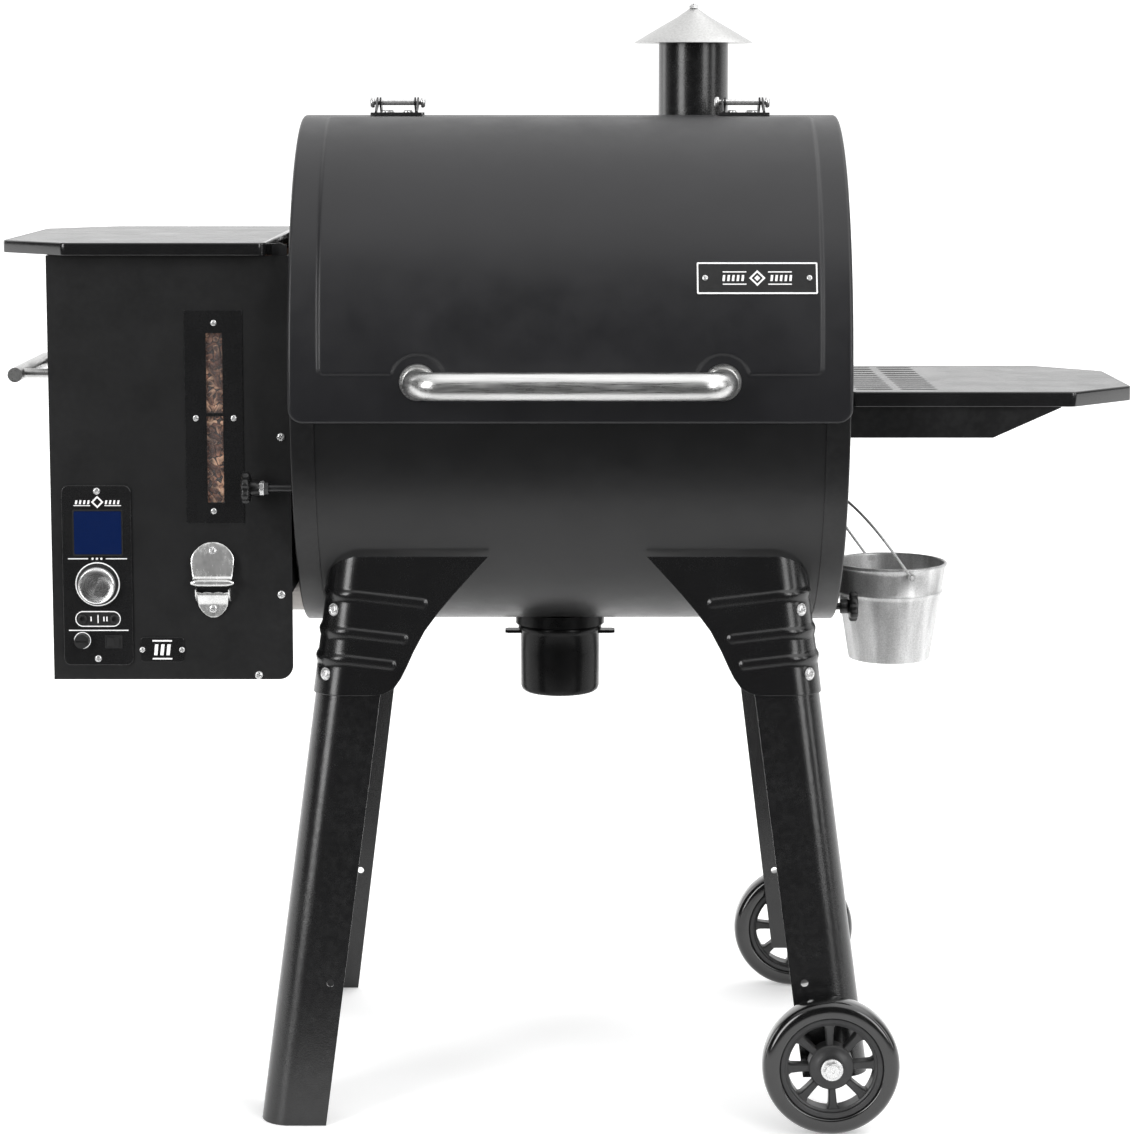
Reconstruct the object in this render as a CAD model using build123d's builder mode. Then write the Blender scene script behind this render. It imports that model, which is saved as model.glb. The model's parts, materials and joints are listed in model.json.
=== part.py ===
"""Pellet smoker grill: a barrel-shaped cooking chamber on four splayed legs, with a pellet hopper
on the left, a side shelf and a grease bucket on the right, and two wheels under the right legs.

Millimetres. +Z is up, +X is to the right of a person standing at the front, the front faces -Y.
The origin is on the floor, at the middle of the whole object's box. Every Y given to the plane
helpers below is measured from the barrel's own axis.
"""
import os
from math import atan2, cos, hypot, radians, sin, sqrt

from build123d import *

os.makedirs("parts", exist_ok=True)

# ---------------------------------------------------------------- driving dimensions
AXIS_Y = 10.75            # barrel axis, behind the middle of the whole object's box
AXIS_Z = 838.0            # height of the barrel axis
BARREL_A = 258.5          # barrel shell, outer half depth
BARREL_B = 296.0          # barrel shell, outer half height
BARREL_T = 2.0
CAP_T = 2.5
CAP_X = 310.0             # outer face of the end caps
CAP_RIM = 24.0            # how far the end cap's rim reaches over the shell
RIM_T = 1.5
LID_A = 262.5             # lid, outer half depth
LID_B = 300.0
LID_T = 1.8
LID_X = 312.0
LID_LOW_Z = 800.0
LID_BACK_Y = 2.0
LIP_DEPTH = 17.0

HINGE_X = 203.5
PIN_Y = 22.0
PIN_Z = 1152.0
PIN_R = 3.0
RUN = 0.05                # radial running clearance of pins and shafts

HANDLE_Y = -312.0
HANDLE_Z = 847.0
HANDLE_X = 168.0
HANDLE_R = 15.5

CHIMNEY_X = 151.0
CHIMNEY_Y = 150.0
CHIMNEY_R = 42.5
CHIMNEY_TOP = 1226.0
CAP_RIM_Z = 1223.0
CAP_RIM_R = 73.0
CAP_APEX_Z = 1267.0

HOPPER_X = (-587.0, -315.0)
HOPPER_Y = 190.0
HOPPER_Z = (500.5, 982.5)
SHEET = 2.0
HOPPER_LID_X = (-643.0, -340.0)
HOPPER_LID_Y = 207.0
HOPPER_LID_Z = (983.5, 997.5)
LID_CHAMFER = (78.0, 67.0)
HOPPER_PIN_X = -326.0
HOPPER_PIN_Z = 989.0

AUGER_Z = 592.0
POT_X = -12.0
POT_R = 36.0

SLIDE_Y = -215.0
SLIDE_Z = 723.3
ASH_Y = -85.0
ASH_Z = 566.5

SHELF_X = (316.0, 649.0)
SHELF_Y = 163.0
SHELF_Z = (809.5, 826.5)
SHELF_CHAMFER = (77.0, 73.0)

FOOT_X = 349.4            # outer corner of a leg at the floor, from the legs' middle
LEG_MID = -3.0            # the legs' middle, beside the barrel's middle
FOOT_Y = 262.0
LEAN_X = 0.1278           # how far a leg leans in per unit of height
LEAN_Y = 0.0946
LEG_W = (75.5, 80.0)
LEG_T = 2.2
LEG_R = 34.0
BRACKET_T = 2.6
BRACKET_Z = (489.0, 644.0)

WHEEL_X = 293.0
WHEEL_R = 77.5
WHEEL_Y = (262.4, 298.0)
HUB_R = 58.0
AXLE_R = 6.0

BUCKET_X = 383.0
BUCKET_Z = (490.0, 607.0)
BUCKET_R = (48.0, 67.5)
EAR_Z = 598.0
EAR_TURN = 14.0           # degrees that the bail's ears are turned about the bucket's axis
BAIL_H = 115.0
BAIL_W = 72.5
BAIL_LEAN = 36.9          # degrees that the bail leans to the barrel
PEG_Z = 683.9             # peg on the right end cap that the bail hangs on


# ---------------------------------------------------------------- planes and small helpers
def floor_plane(z):
    """Horizontal plane at height z, its origin under the barrel axis."""
    return Plane(origin=(0, AXIS_Y, z))


def front_plane(y):
    """Plane facing the front, drawn in X and Z; extruding goes to the front."""
    return Plane(origin=(0, AXIS_Y + y, 0), x_dir=(1, 0, 0), z_dir=(0, -1, 0))


def side_plane(x):
    """Plane facing right, drawn in Y and Z; extruding goes to the right."""
    return Plane(origin=(x, AXIS_Y, 0), x_dir=(0, 1, 0), z_dir=(1, 0, 0))


def block(x, y, z, mode=Mode.ADD):
    """A box between pairs of coordinates."""
    with BuildSketch(floor_plane(z[0])) as face:
        with Locations(((x[0] + x[1]) / 2, (y[0] + y[1]) / 2)):
            Rectangle(x[1] - x[0], y[1] - y[0])
    extrude(face.sketch, amount=z[1] - z[0], mode=mode)


def rod(plane, u, v, radius, length, mode=Mode.ADD):
    """A round bar that starts on a plane at (u, v)."""
    with BuildSketch(plane) as face:
        with Locations((u, v)):
            Circle(radius)
    extrude(face.sketch, amount=length, mode=mode)


def pipe(plane, u, v, outer, inner, length):
    """A tube that starts on a plane at (u, v)."""
    with BuildSketch(plane) as face:
        with Locations((u, v)):
            Circle(outer)
            Circle(inner, mode=Mode.SUBTRACT)
    extrude(face.sketch, amount=length)


def hexagon(plane, u, v, radius, length):
    """A hexagonal bolt head or nut that starts on a plane."""
    with BuildSketch(plane) as face:
        with Locations((u, v)):
            RegularPolygon(radius, 6)
    extrude(face.sketch, amount=length)


def plate(plane, points, thickness, mode=Mode.ADD):
    """A flat plate with a polygonal outline."""
    with BuildSketch(plane) as face:
        with BuildLine():
            Polyline(*points, close=True)
        make_face()
    extrude(face.sketch, amount=thickness, mode=mode)


def oval(x, half_depth, half_height, mode=Mode.ADD):
    """A solid with the barrel's oval section, between two X positions."""
    with BuildSketch(side_plane(x[0])) as face:
        with Locations((0, AXIS_Z)):
            Ellipse(half_depth, half_height)
    extrude(face.sketch, amount=x[1] - x[0], mode=mode)


def barrel_envelope(mode=Mode.SUBTRACT):
    """The room that the barrel and its rims take up."""
    oval((-CAP_X, CAP_X), BARREL_A + RIM_T, BARREL_B + RIM_T, mode)


# ---------------------------------------------------------------- barrel
with BuildPart() as barrel_shell:
    shell_x = (-CAP_X + CAP_T, CAP_X - CAP_T)
    oval(shell_x, BARREL_A, BARREL_B)
    oval(shell_x, BARREL_A - BARREL_T, BARREL_B - BARREL_T, Mode.SUBTRACT)
    block((-284, 284), (-300, 4), (815, 1200), Mode.SUBTRACT)
    rod(floor_plane(AXIS_Z), CHIMNEY_X, CHIMNEY_Y, CHIMNEY_R, 400, Mode.SUBTRACT)
    rod(floor_plane(500), POT_X, 0, 42, 100, Mode.SUBTRACT)
barrel_shell.part.label = "barrel_shell"
export_step(barrel_shell.part, "parts/barrel_shell.step")

for side, name in ((-1, "left_end_cap"), (1, "right_end_cap")):
    with BuildPart() as end_cap:
        outer_x = sorted((side * CAP_X, side * (CAP_X - CAP_T - CAP_RIM)))
        inner_x = sorted((side * (CAP_X - CAP_T), side * (CAP_X - CAP_T - CAP_RIM)))
        oval(outer_x, BARREL_A + RIM_T, BARREL_B + RIM_T)
        rim_edges = end_cap.edges().filter_by(GeomType.ELLIPSE)
        fillet(rim_edges.sort_by(Axis.X)[-1 if side > 0 else 0], 2.2)
        oval(inner_x, BARREL_A, BARREL_B, Mode.SUBTRACT)
        if side < 0:
            rod(side_plane(-CAP_X - 1), 0, AUGER_Z, 24, 10, Mode.SUBTRACT)
            rod(side_plane(-CAP_X - 1), SLIDE_Y, SLIDE_Z, 4.3, 10, Mode.SUBTRACT)
        else:
            rod(side_plane(CAP_X - 8), ASH_Y, ASH_Z, 4.3, 10, Mode.SUBTRACT)
            rod(side_plane(CAP_X - 8), 0, 619, 8, 10, Mode.SUBTRACT)
    end_cap.part.label = name
    export_step(end_cap.part, f"parts/{name}.step")

with BuildPart() as chimney_pipe:
    pipe(floor_plane(1050), CHIMNEY_X, CHIMNEY_Y, CHIMNEY_R, CHIMNEY_R - 1.5, CHIMNEY_TOP - 1050)
    block((CHIMNEY_X - 41.4, CHIMNEY_X + 41.4), (CHIMNEY_Y - 8, CHIMNEY_Y + 8), (1196, 1199))
    rod(floor_plane(1190), CHIMNEY_X, CHIMNEY_Y, PIN_R + RUN, 20, Mode.SUBTRACT)
chimney_pipe.part.label = "chimney_pipe"
export_step(chimney_pipe.part, "parts/chimney_pipe.step")

with BuildPart() as chimney_cap:
    with BuildSketch(Plane(origin=(CHIMNEY_X, AXIS_Y + CHIMNEY_Y, 0), x_dir=(1, 0, 0),
                           z_dir=(0, -1, 0))) as cap_section:
        with BuildLine():
            Polyline((0, CAP_APEX_Z), (CAP_RIM_R - 1, CAP_RIM_Z + 0.8), (CAP_RIM_R, CAP_RIM_Z),
                     (CAP_RIM_R - 1.6, CAP_RIM_Z), (PIN_R, CAP_APEX_Z - 3.5), (PIN_R, 1171),
                     (0, 1171), close=True)
        make_face()
    revolve(axis=Axis((CHIMNEY_X, AXIS_Y + CHIMNEY_Y, 0), (0, 0, 1)))
    hexagon(floor_plane(CAP_APEX_Z - 2), CHIMNEY_X, CHIMNEY_Y, 6.5, 5)
    rod(floor_plane(CAP_APEX_Z + 3), CHIMNEY_X, CHIMNEY_Y, 4, 2)
chimney_cap.part.label = "chimney_cap"
export_step(chimney_cap.part, "parts/chimney_cap.step")

# ---------------------------------------------------------------- lid
with BuildPart() as lid_shell:
    oval((-LID_X, LID_X), LID_A, LID_B)
    oval((-LID_X + 1.4, LID_X - 1.4), LID_A - LID_T, LID_B - LID_T, Mode.SUBTRACT)
    oval((-LID_X, LID_X), LID_A - LIP_DEPTH, LID_B - LIP_DEPTH, Mode.SUBTRACT)
    block((-400, 400), (-400, 400), (400, LID_LOW_Z), Mode.SUBTRACT)
    block((-400, 400), (LID_BACK_Y, 400), (LID_LOW_Z - 1, 1300), Mode.SUBTRACT)
lid_shell.part.label = "lid_shell"
export_step(lid_shell.part, "parts/lid_shell.step")

HANDLE_ROOT_Y = -261.0
with BuildPart() as lid_handle:
    with BuildLine(floor_plane(HANDLE_Z)) as handle_path:
        FilletPolyline((-HANDLE_X, HANDLE_ROOT_Y), (-HANDLE_X, HANDLE_Y), (HANDLE_X, HANDLE_Y),
                       (HANDLE_X, HANDLE_ROOT_Y), radius=26)
    with BuildSketch(front_plane(HANDLE_ROOT_Y)) as handle_round:
        with Locations((-HANDLE_X, HANDLE_Z)):
            Circle(HANDLE_R)
            Circle(HANDLE_R - 2, mode=Mode.SUBTRACT)
    sweep(handle_round.sketch, path=handle_path.line)
    for bezel_x in (-HANDLE_X, HANDLE_X):
        pipe(front_plane(HANDLE_ROOT_Y), bezel_x, HANDLE_Z, 20.5, HANDLE_R, 5.5)
    oval((-CAP_X, CAP_X), LID_A, LID_B, Mode.SUBTRACT)
lid_handle.part.label = "lid_handle"
export_step(lid_handle.part, "parts/lid_handle.step")

plate_z = 961.0
plate_y = -LID_A * sqrt(1 - ((plate_z - AXIS_Z) / LID_B) ** 2)
plate_tilt = atan2((plate_z - AXIS_Z) / LID_B ** 2, -plate_y / LID_A ** 2)
plate_plane = Plane(
    origin=(204, AXIS_Y + plate_y - 0.4 * cos(plate_tilt), plate_z + 0.4 * sin(plate_tilt)),
    x_dir=(1, 0, 0),
    z_dir=(0, -cos(plate_tilt), sin(plate_tilt)),
)
with BuildPart() as name_plate:
    with BuildSketch(plate_plane):
        RectangleRounded(136, 35, 2)
    extrude(amount=1.6)
    with BuildSketch(plate_plane.offset(1.6)):
        with Locations((-59.5, 0), (59.5, 0)):
            Circle(3.4)
    extrude(amount=1.6)
name_plate.part.label = "name_plate"
export_step(name_plate.part, "parts/name_plate.step")

# Hinges on top: each has a leaf on the lid, a leaf on the barrel and a pin with rounded nuts.
with BuildPart() as lid_hinge_leaves:
    for hinge_x in (-HINGE_X, HINGE_X):
        block((hinge_x - 30, hinge_x + 30), (-17, 1), (1134, 1140.2))
        for ear_x in (hinge_x - 25, hinge_x + 23):
            plate(side_plane(ear_x), ((-17, 1136), (1, 1136), (1, 1141), (PIN_Y + 4, 1147.5),
                                      (PIN_Y + 4, 1156.5), (PIN_Y - 4, 1157), (-17, 1142)), 2)
            rod(side_plane(ear_x), PIN_Y, PIN_Z, 6, 2)
            rod(side_plane(ear_x), PIN_Y, PIN_Z, PIN_R + RUN, 2, Mode.SUBTRACT)
        for screw_x in (hinge_x - 13, hinge_x + 13):
            rod(floor_plane(1140.2), screw_x, -9, 4.2, 2.4)
    oval((-CAP_X, CAP_X), LID_A, LID_B, Mode.SUBTRACT)
lid_hinge_leaves.part.label = "lid_hinge_leaves"
export_step(lid_hinge_leaves.part, "parts/lid_hinge_leaves.step")

with BuildPart() as hinge_brackets:
    for hinge_x in (-HINGE_X, HINGE_X):
        block((hinge_x - 30, hinge_x + 30), (36, 56), (1118, 1140))
        for ear_x in (hinge_x - 21.5, hinge_x + 19.5):
            plate(side_plane(ear_x), ((PIN_Y - 4, 1148), (PIN_Y - 4, 1157), (PIN_Y + 4, 1157),
                                      (56, 1141), (56, 1136), (36, 1136)), 2)
            rod(side_plane(ear_x), PIN_Y, PIN_Z, 6, 2)
        for screw_x in (hinge_x - 11, hinge_x + 11):
            rod(floor_plane(1140), screw_x, 48, 4.2, 2.4)
    oval((-CAP_X, CAP_X), BARREL_A, BARREL_B, Mode.SUBTRACT)
    for hinge_x in (-HINGE_X, HINGE_X):
        rod(side_plane(hinge_x - 29), PIN_Y, PIN_Z, PIN_R, 58)
        rod(side_plane(hinge_x - 32), PIN_Y, PIN_Z, 5.6, 4.6)
        rod(side_plane(hinge_x + 27.4), PIN_Y, PIN_Z, 5.6, 4.6)
    for end in (-1, 1):
        ear_plane_y = front_plane(end * 185.5 + 1.5)
        plate(ear_plane_y, ((-334, 976), (-317, 960), (-317, 994), (-334, 994)), 3)
        rod(ear_plane_y, HOPPER_PIN_X, HOPPER_PIN_Z, 7.5, 3)
        rod(front_plane(end * 182.75 + 4.25), HOPPER_PIN_X, HOPPER_PIN_Z, PIN_R, 8.5)
hinge_brackets.part.label = "hinge_brackets"
export_step(hinge_brackets.part, "parts/hinge_brackets.step")

# ---------------------------------------------------------------- hopper
CONTROL_X = (-575.0, -496.0)
CONTROL_Z = (517.0, 723.5)
PLATE_Y = -HOPPER_Y - 2.5
BODY_X = (-566.0, -505.0)
BODY_Z = (528.0, 662.0)
WINDOW_X = -400.0
WINDOW_Z = (703.5, 895.5)
INSET_X = -352.0          # right wall of the hopper's lower part, behind its front panel
INSET_Z = 600.0
INLET_X = -546.0
INLET_Z = 545.0

with BuildPart() as hopper_box:
    hopper_y = (-HOPPER_Y, HOPPER_Y)
    block(HOPPER_X, hopper_y, HOPPER_Z)
    fillet(hopper_box.edges().filter_by(Axis.Y).group_by(Axis.X)[-1].sort_by(Axis.Z)[0], 16)
    block((HOPPER_X[0] + SHEET, HOPPER_X[1] - SHEET), (-HOPPER_Y + SHEET, HOPPER_Y - SHEET),
          (HOPPER_Z[0] + SHEET, HOPPER_Z[1] + 5), Mode.SUBTRACT)
    block((HOPPER_X[1], -CAP_X), (-110, 110), (610, 780))
    inset_y = (-HOPPER_Y + SHEET, HOPPER_Y)
    block((INSET_X, HOPPER_X[1]), (-HOPPER_Y + SHEET, HOPPER_Y + 1), (HOPPER_Z[0] - 1, INSET_Z), Mode.SUBTRACT)
    block((INSET_X - SHEET, INSET_X), inset_y, (HOPPER_Z[0], INSET_Z + SHEET))
    block((INSET_X - SHEET, HOPPER_X[1]), inset_y, (INSET_Z, INSET_Z + SHEET))
    rod(side_plane(INSET_X - 10), 0, AUGER_Z, 24, 56, Mode.SUBTRACT)
    block((INSET_X - 5, INSET_X + 5), (85, 125), (543, 583), Mode.SUBTRACT)
    block(BODY_X, (-HOPPER_Y - 1, -HOPPER_Y + 5), BODY_Z, Mode.SUBTRACT)
    for slot_z in ((WINDOW_Z[0], 801.5), (805.5, WINDOW_Z[1])):
        block((WINDOW_X - 9.3, WINDOW_X + 9.3), (-HOPPER_Y - 1, -HOPPER_Y + 5), slot_z, Mode.SUBTRACT)
    block((INLET_X - 16, INLET_X + 16), (HOPPER_Y - 5, HOPPER_Y + 1), (INLET_Z - 12, INLET_Z + 12),
          Mode.SUBTRACT)
hopper_box.part.label = "hopper_box"
export_step(hopper_box.part, "parts/hopper_box.step")

BIN_X = (-582.0, -320.0)
BIN_Y = 181.0
THROAT_X = (-520.0, -360.0)
THROAT_Y = 26.0
BIN_Z = (618.0, 698.0, 972.0)
with BuildPart() as hopper_bin:
    bin_mid = (BIN_X[0] + BIN_X[1]) / 2
    throat_mid = (THROAT_X[0] + THROAT_X[1]) / 2
    for inset, mode in ((0.0, Mode.ADD), (SHEET, Mode.SUBTRACT)):
        with BuildSketch(floor_plane(BIN_Z[1])) as bin_face:
            with Locations((bin_mid, 0)):
                Rectangle(BIN_X[1] - BIN_X[0] - 2 * inset, 2 * BIN_Y - 2 * inset)
        extrude(bin_face.sketch, amount=BIN_Z[2] - BIN_Z[1], mode=mode)
        with BuildSketch(floor_plane(BIN_Z[0])) as throat_face:
            with Locations((throat_mid, 0)):
                Rectangle(THROAT_X[1] - THROAT_X[0] - 2 * inset, 2 * THROAT_Y - 2 * inset)
        loft([throat_face.sketch, bin_face.sketch], mode=mode)
    block((WINDOW_X - 14, WINDOW_X + 14), (-BIN_Y - 1, -BIN_Y + 5), (WINDOW_Z[0], 905), Mode.SUBTRACT)
hopper_bin.part.label = "hopper_bin"
export_step(hopper_bin.part, "parts/hopper_bin.step")

with BuildPart() as pellets:
    block((BIN_X[0] + SHEET, BIN_X[1] - SHEET), (-BIN_Y + SHEET, BIN_Y - SHEET), (BIN_Z[1], 897))
    fillet(pellets.edges().group_by(Axis.Z)[-1], 6)
pellets.part.label = "pellets"
export_step(pellets.part, "parts/pellets.step")

with BuildPart() as pellet_window:
    block((WINDOW_X - 20, WINDOW_X + 20), (-HOPPER_Y + SHEET, -BIN_Y - 0.5), (694, 905))
pellet_window.part.label = "pellet_window"
export_step(pellet_window.part, "parts/pellet_window.step")

with BuildPart() as controller_plate:
    with BuildSketch(front_plane(-HOPPER_Y)):
        with Locations(((CONTROL_X[0] + CONTROL_X[1]) / 2, (CONTROL_Z[0] + CONTROL_Z[1]) / 2)):
            RectangleRounded(CONTROL_X[1] - CONTROL_X[0], CONTROL_Z[1] - CONTROL_Z[0], 8)
    extrude(amount=2.5)
    block(BODY_X, (-HOPPER_Y, -150), BODY_Z)
    with BuildSketch(front_plane(PLATE_Y)):
        with Locations((-535.5, 570.7)):
            SlotOverall(50.6, 17)
    extrude(amount=0.9)
    rod(front_plane(-150), -535.3, 610, 3 + RUN, 60, Mode.SUBTRACT)
    rod(front_plane(-150), -553.6, 546, 4 + RUN, 60, Mode.SUBTRACT)
    block((-526.9, -509.7), (-200, -180), (538.8, 550), Mode.SUBTRACT)
    for jack_x in (-553.1, -516.7):
        pipe(front_plane(PLATE_Y - 0.9), jack_x, 570.7, 5.2, 2.6, 2.2)
        rod(front_plane(-180), jack_x, 570.7, 2.6, 20, Mode.SUBTRACT)
controller_plate.part.label = "controller_plate"
export_step(controller_plate.part, "parts/controller_plate.step")

with BuildPart() as controller_screen:
    with BuildSketch(front_plane(PLATE_Y)):
        with Locations((-534.1, 669.4)):
            RectangleRounded(53.4, 49, 2)
    extrude(amount=0.9)
controller_screen.part.label = "controller_screen"
export_step(controller_screen.part, "parts/controller_screen.step")

with BuildPart() as control_knob:
    rod(front_plane(-160), -535.3, 610, 3, 33)
    rod(front_plane(PLATE_Y - 0.4), -535.3, 610, 23.6, 1.6)
    rod(front_plane(PLATE_Y - 2), -535.3, 610, 21, 9)
    fillet(control_knob.faces().sort_by(Axis.Y)[0].edges(), 1.4)
    block((-536.1, -534.5), (PLATE_Y - 12, PLATE_Y - 10), (622, 630), Mode.SUBTRACT)
control_knob.part.label = "control_knob"
export_step(control_knob.part, "parts/control_knob.step")

ROCKER_X = -518.3
ROCKER_Y = -187.0
with BuildPart() as power_switch:
    with BuildSketch(floor_plane(539.6)):
        with BuildLine():
            Polyline((ROCKER_X - 6.6, ROCKER_Y + 2), (ROCKER_X - 6.9, ROCKER_Y - 9.2), (ROCKER_X, ROCKER_Y - 7.3),
                     (ROCKER_X + 6.9, ROCKER_Y - 7.3), (ROCKER_X + 6.6, ROCKER_Y + 2), close=True)
        make_face()
    extrude(amount=9.6)
    rod(floor_plane(539), ROCKER_X, ROCKER_Y, 1.3, 10.8)
power_switch.part.label = "power_switch"
export_step(power_switch.part, "parts/power_switch.step")

with BuildPart() as fuse_cap:
    rod(front_plane(-160), -553.6, 546, 4, 34)
    rod(front_plane(PLATE_Y - 0.3), -553.6, 546, 8, 9)
    block((-560, -547), (PLATE_Y - 12, PLATE_Y - 8), (545, 547), Mode.SUBTRACT)
fuse_cap.part.label = "fuse_cap"
export_step(fuse_cap.part, "parts/fuse_cap.step")

OPENER_X = -404.4
with BuildPart() as bottle_opener:
    with BuildSketch(front_plane(-HOPPER_Y)):
        with BuildLine():
            Polyline((OPENER_X - 24, 642), (OPENER_X - 17, 655), (OPENER_X, 659), (OPENER_X + 17, 655),
                     (OPENER_X + 24, 642), (OPENER_X + 19, 600), (OPENER_X + 11, 578), (OPENER_X, 572),
                     (OPENER_X - 11, 578), (OPENER_X - 19, 600), close=True)
        make_face()
    extrude(amount=2.2)
    for cheek_x in (OPENER_X - 24, OPENER_X + 21.4):
        plate(side_plane(cheek_x), ((-HOPPER_Y - 1, 640), (-206.5, 616), (-206.5, 605), (-HOPPER_Y - 1, 612)), 2.6)
    block((OPENER_X - 24, OPENER_X + 24), (-206.5, -203), (604, 616))
bottle_opener.part.label = "bottle_opener"
export_step(bottle_opener.part, "parts/bottle_opener.step")

FACE_SCREWS = ((WINDOW_X, 907), (WINDOW_X - 1.5, 690), (-421.3, 799.6), (-378.7, 799.6),
               (-325.9, 778.1), (-327.4, 598.3), (-354, 505.5), (-486, 535), (-441, 535))
PLATE_SCREWS = ((-534.5, 717), (-536, 525), (OPENER_X, 650), (OPENER_X, 583))
with BuildPart() as case_screws:
    for screw_x, screw_z in FACE_SCREWS:
        rod(front_plane(-HOPPER_Y), screw_x, screw_z, 4, 2.4)
    for screw_x, screw_z in PLATE_SCREWS:
        rod(front_plane(PLATE_Y), screw_x, screw_z, 3.8, 2.4)
case_screws.part.label = "case_screws"
export_step(case_screws.part, "parts/case_screws.step")

with BuildPart() as hopper_handle:
    bar_x = -640.5
    rod(front_plane(103), bar_x, 840, 8.5, 206)
    for post_y in (-80, 80):
        rod(side_plane(bar_x + 4), post_y, 840, 5.5, HOPPER_X[0] - bar_x - 4)
        rod(side_plane(HOPPER_X[0] - 3), post_y, 840, 9, 3)
hopper_handle.part.label = "hopper_handle"
export_step(hopper_handle.part, "parts/hopper_handle.step")

with BuildPart() as hopper_lid:
    lid_outline = ((HOPPER_LID_X[0], -HOPPER_LID_Y + LID_CHAMFER[1]),
                   (HOPPER_LID_X[0] + LID_CHAMFER[0], -HOPPER_LID_Y), (HOPPER_LID_X[1], -HOPPER_LID_Y),
                   (HOPPER_LID_X[1], HOPPER_LID_Y), (HOPPER_LID_X[0] + LID_CHAMFER[0], HOPPER_LID_Y),
                   (HOPPER_LID_X[0], HOPPER_LID_Y - LID_CHAMFER[1]))
    plate(floor_plane(HOPPER_LID_Z[0]), lid_outline, HOPPER_LID_Z[1] - HOPPER_LID_Z[0])
    fillet(hopper_lid.edges().filter_by(Axis.Z), 5)
    fillet(hopper_lid.faces().sort_by(Axis.Z)[-1].edges(), 2.4)
    with BuildSketch(floor_plane(HOPPER_LID_Z[0])) as pan:
        with BuildLine():
            Polyline(*lid_outline, close=True)
        make_face()
        offset(amount=-SHEET, kind=Kind.INTERSECTION, mode=Mode.REPLACE)
    extrude(pan.sketch, amount=HOPPER_LID_Z[1] - HOPPER_LID_Z[0] - SHEET, mode=Mode.SUBTRACT)
    for end in (-1, 1):
        ear_y = end * 181.8 + 1.6
        plate(front_plane(ear_y), ((-356, 984), (-326, 982), (-320, 989), (-326, 995.4), (-356, 995.5)), 3.2)
        rod(front_plane(ear_y), HOPPER_PIN_X, HOPPER_PIN_Z, 7, 3.2)
        rod(front_plane(ear_y), HOPPER_PIN_X, HOPPER_PIN_Z, PIN_R + RUN, 3.2, Mode.SUBTRACT)
hopper_lid.part.label = "hopper_lid"
export_step(hopper_lid.part, "parts/hopper_lid.step")

with BuildPart() as power_inlet:
    block((INLET_X - 16, INLET_X + 16), (170, HOPPER_Y), (INLET_Z - 12, INLET_Z + 12))
    block((INLET_X - 20, INLET_X + 20), (HOPPER_Y, HOPPER_Y + 3), (INLET_Z - 16, INLET_Z + 16))
    block((INLET_X - 12.5, INLET_X + 12.5), (176, HOPPER_Y + 4), (INLET_Z - 8.5, INLET_Z + 8.5),
          Mode.SUBTRACT)
power_inlet.part.label = "power_inlet"
export_step(power_inlet.part, "parts/power_inlet.step")

# ---------------------------------------------------------------- fire side, inside the hopper and barrel
SLEEVE_R = 44.0           # short sleeve round the auger tube, between the hopper and the barrel
with BuildPart() as auger_tube:
    pipe(side_plane(-540), 0, AUGER_Z, 24, 22, 540 + POT_X - POT_R - 1.5)
    pipe(side_plane(INSET_X + 0.3), 0, AUGER_Z, SLEEVE_R, SLEEVE_R - 2, -CAP_X - INSET_X - 0.6)
    block((INSET_X, -CAP_X), (-60, 60), (INSET_Z - 0.3, 650), Mode.SUBTRACT)
    block(THROAT_X, (-14, 14), (AUGER_Z + 5, 660), Mode.SUBTRACT)
auger_tube.part.label = "auger_tube"
export_step(auger_tube.part, "parts/auger_tube.step")

AUGER_PITCH = 46.0
with BuildPart() as auger_screw:
    rod(side_plane(-556), 0, AUGER_Z, 6, 500)
    flight_start = Vector(-530, AXIS_Y, AUGER_Z)
    with BuildLine() as flight_line:
        Helix(pitch=AUGER_PITCH, height=10 * AUGER_PITCH, radius=12.5, center=flight_start, direction=(1, 0, 0))
    flight_root = flight_line.line @ 0
    flight_plane = Plane(origin=flight_root, x_dir=flight_root - flight_start, z_dir=flight_line.line % 0)
    with BuildSketch(flight_plane) as blade:
        Rectangle(15, 3)
    sweep(blade.sketch, path=flight_line.line, is_frenet=True)
auger_screw.part.label = "auger_screw"
export_step(auger_screw.part, "parts/auger_screw.step")

with BuildPart() as auger_motor:
    block((-581, -541), (-34, 34), (562, 617))
    rod(side_plane(-560), 0, AUGER_Z, 6 + RUN, 30, Mode.SUBTRACT)
auger_motor.part.label = "auger_motor"
export_step(auger_motor.part, "parts/auger_motor.step")

FAN_Y = 105.0
FAN_Z = 563.0
with BuildPart() as fan_housing:
    pipe(side_plane(-430), FAN_Y, FAN_Z, 54, 52, 44)
    rod(side_plane(-386), FAN_Y, FAN_Z, 54, 2)
    rod(side_plane(-390), FAN_Y, FAN_Z, 10, 5)
    rod(side_plane(-392), FAN_Y, FAN_Z, 4 + RUN, 10, Mode.SUBTRACT)
    block((-384, INSET_X + SHEET), (FAN_Y - 20, FAN_Y + 20), (FAN_Z - 20, FAN_Z + 20))
fan_housing.part.label = "fan_housing"
export_step(fan_housing.part, "parts/fan_housing.step")

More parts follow.
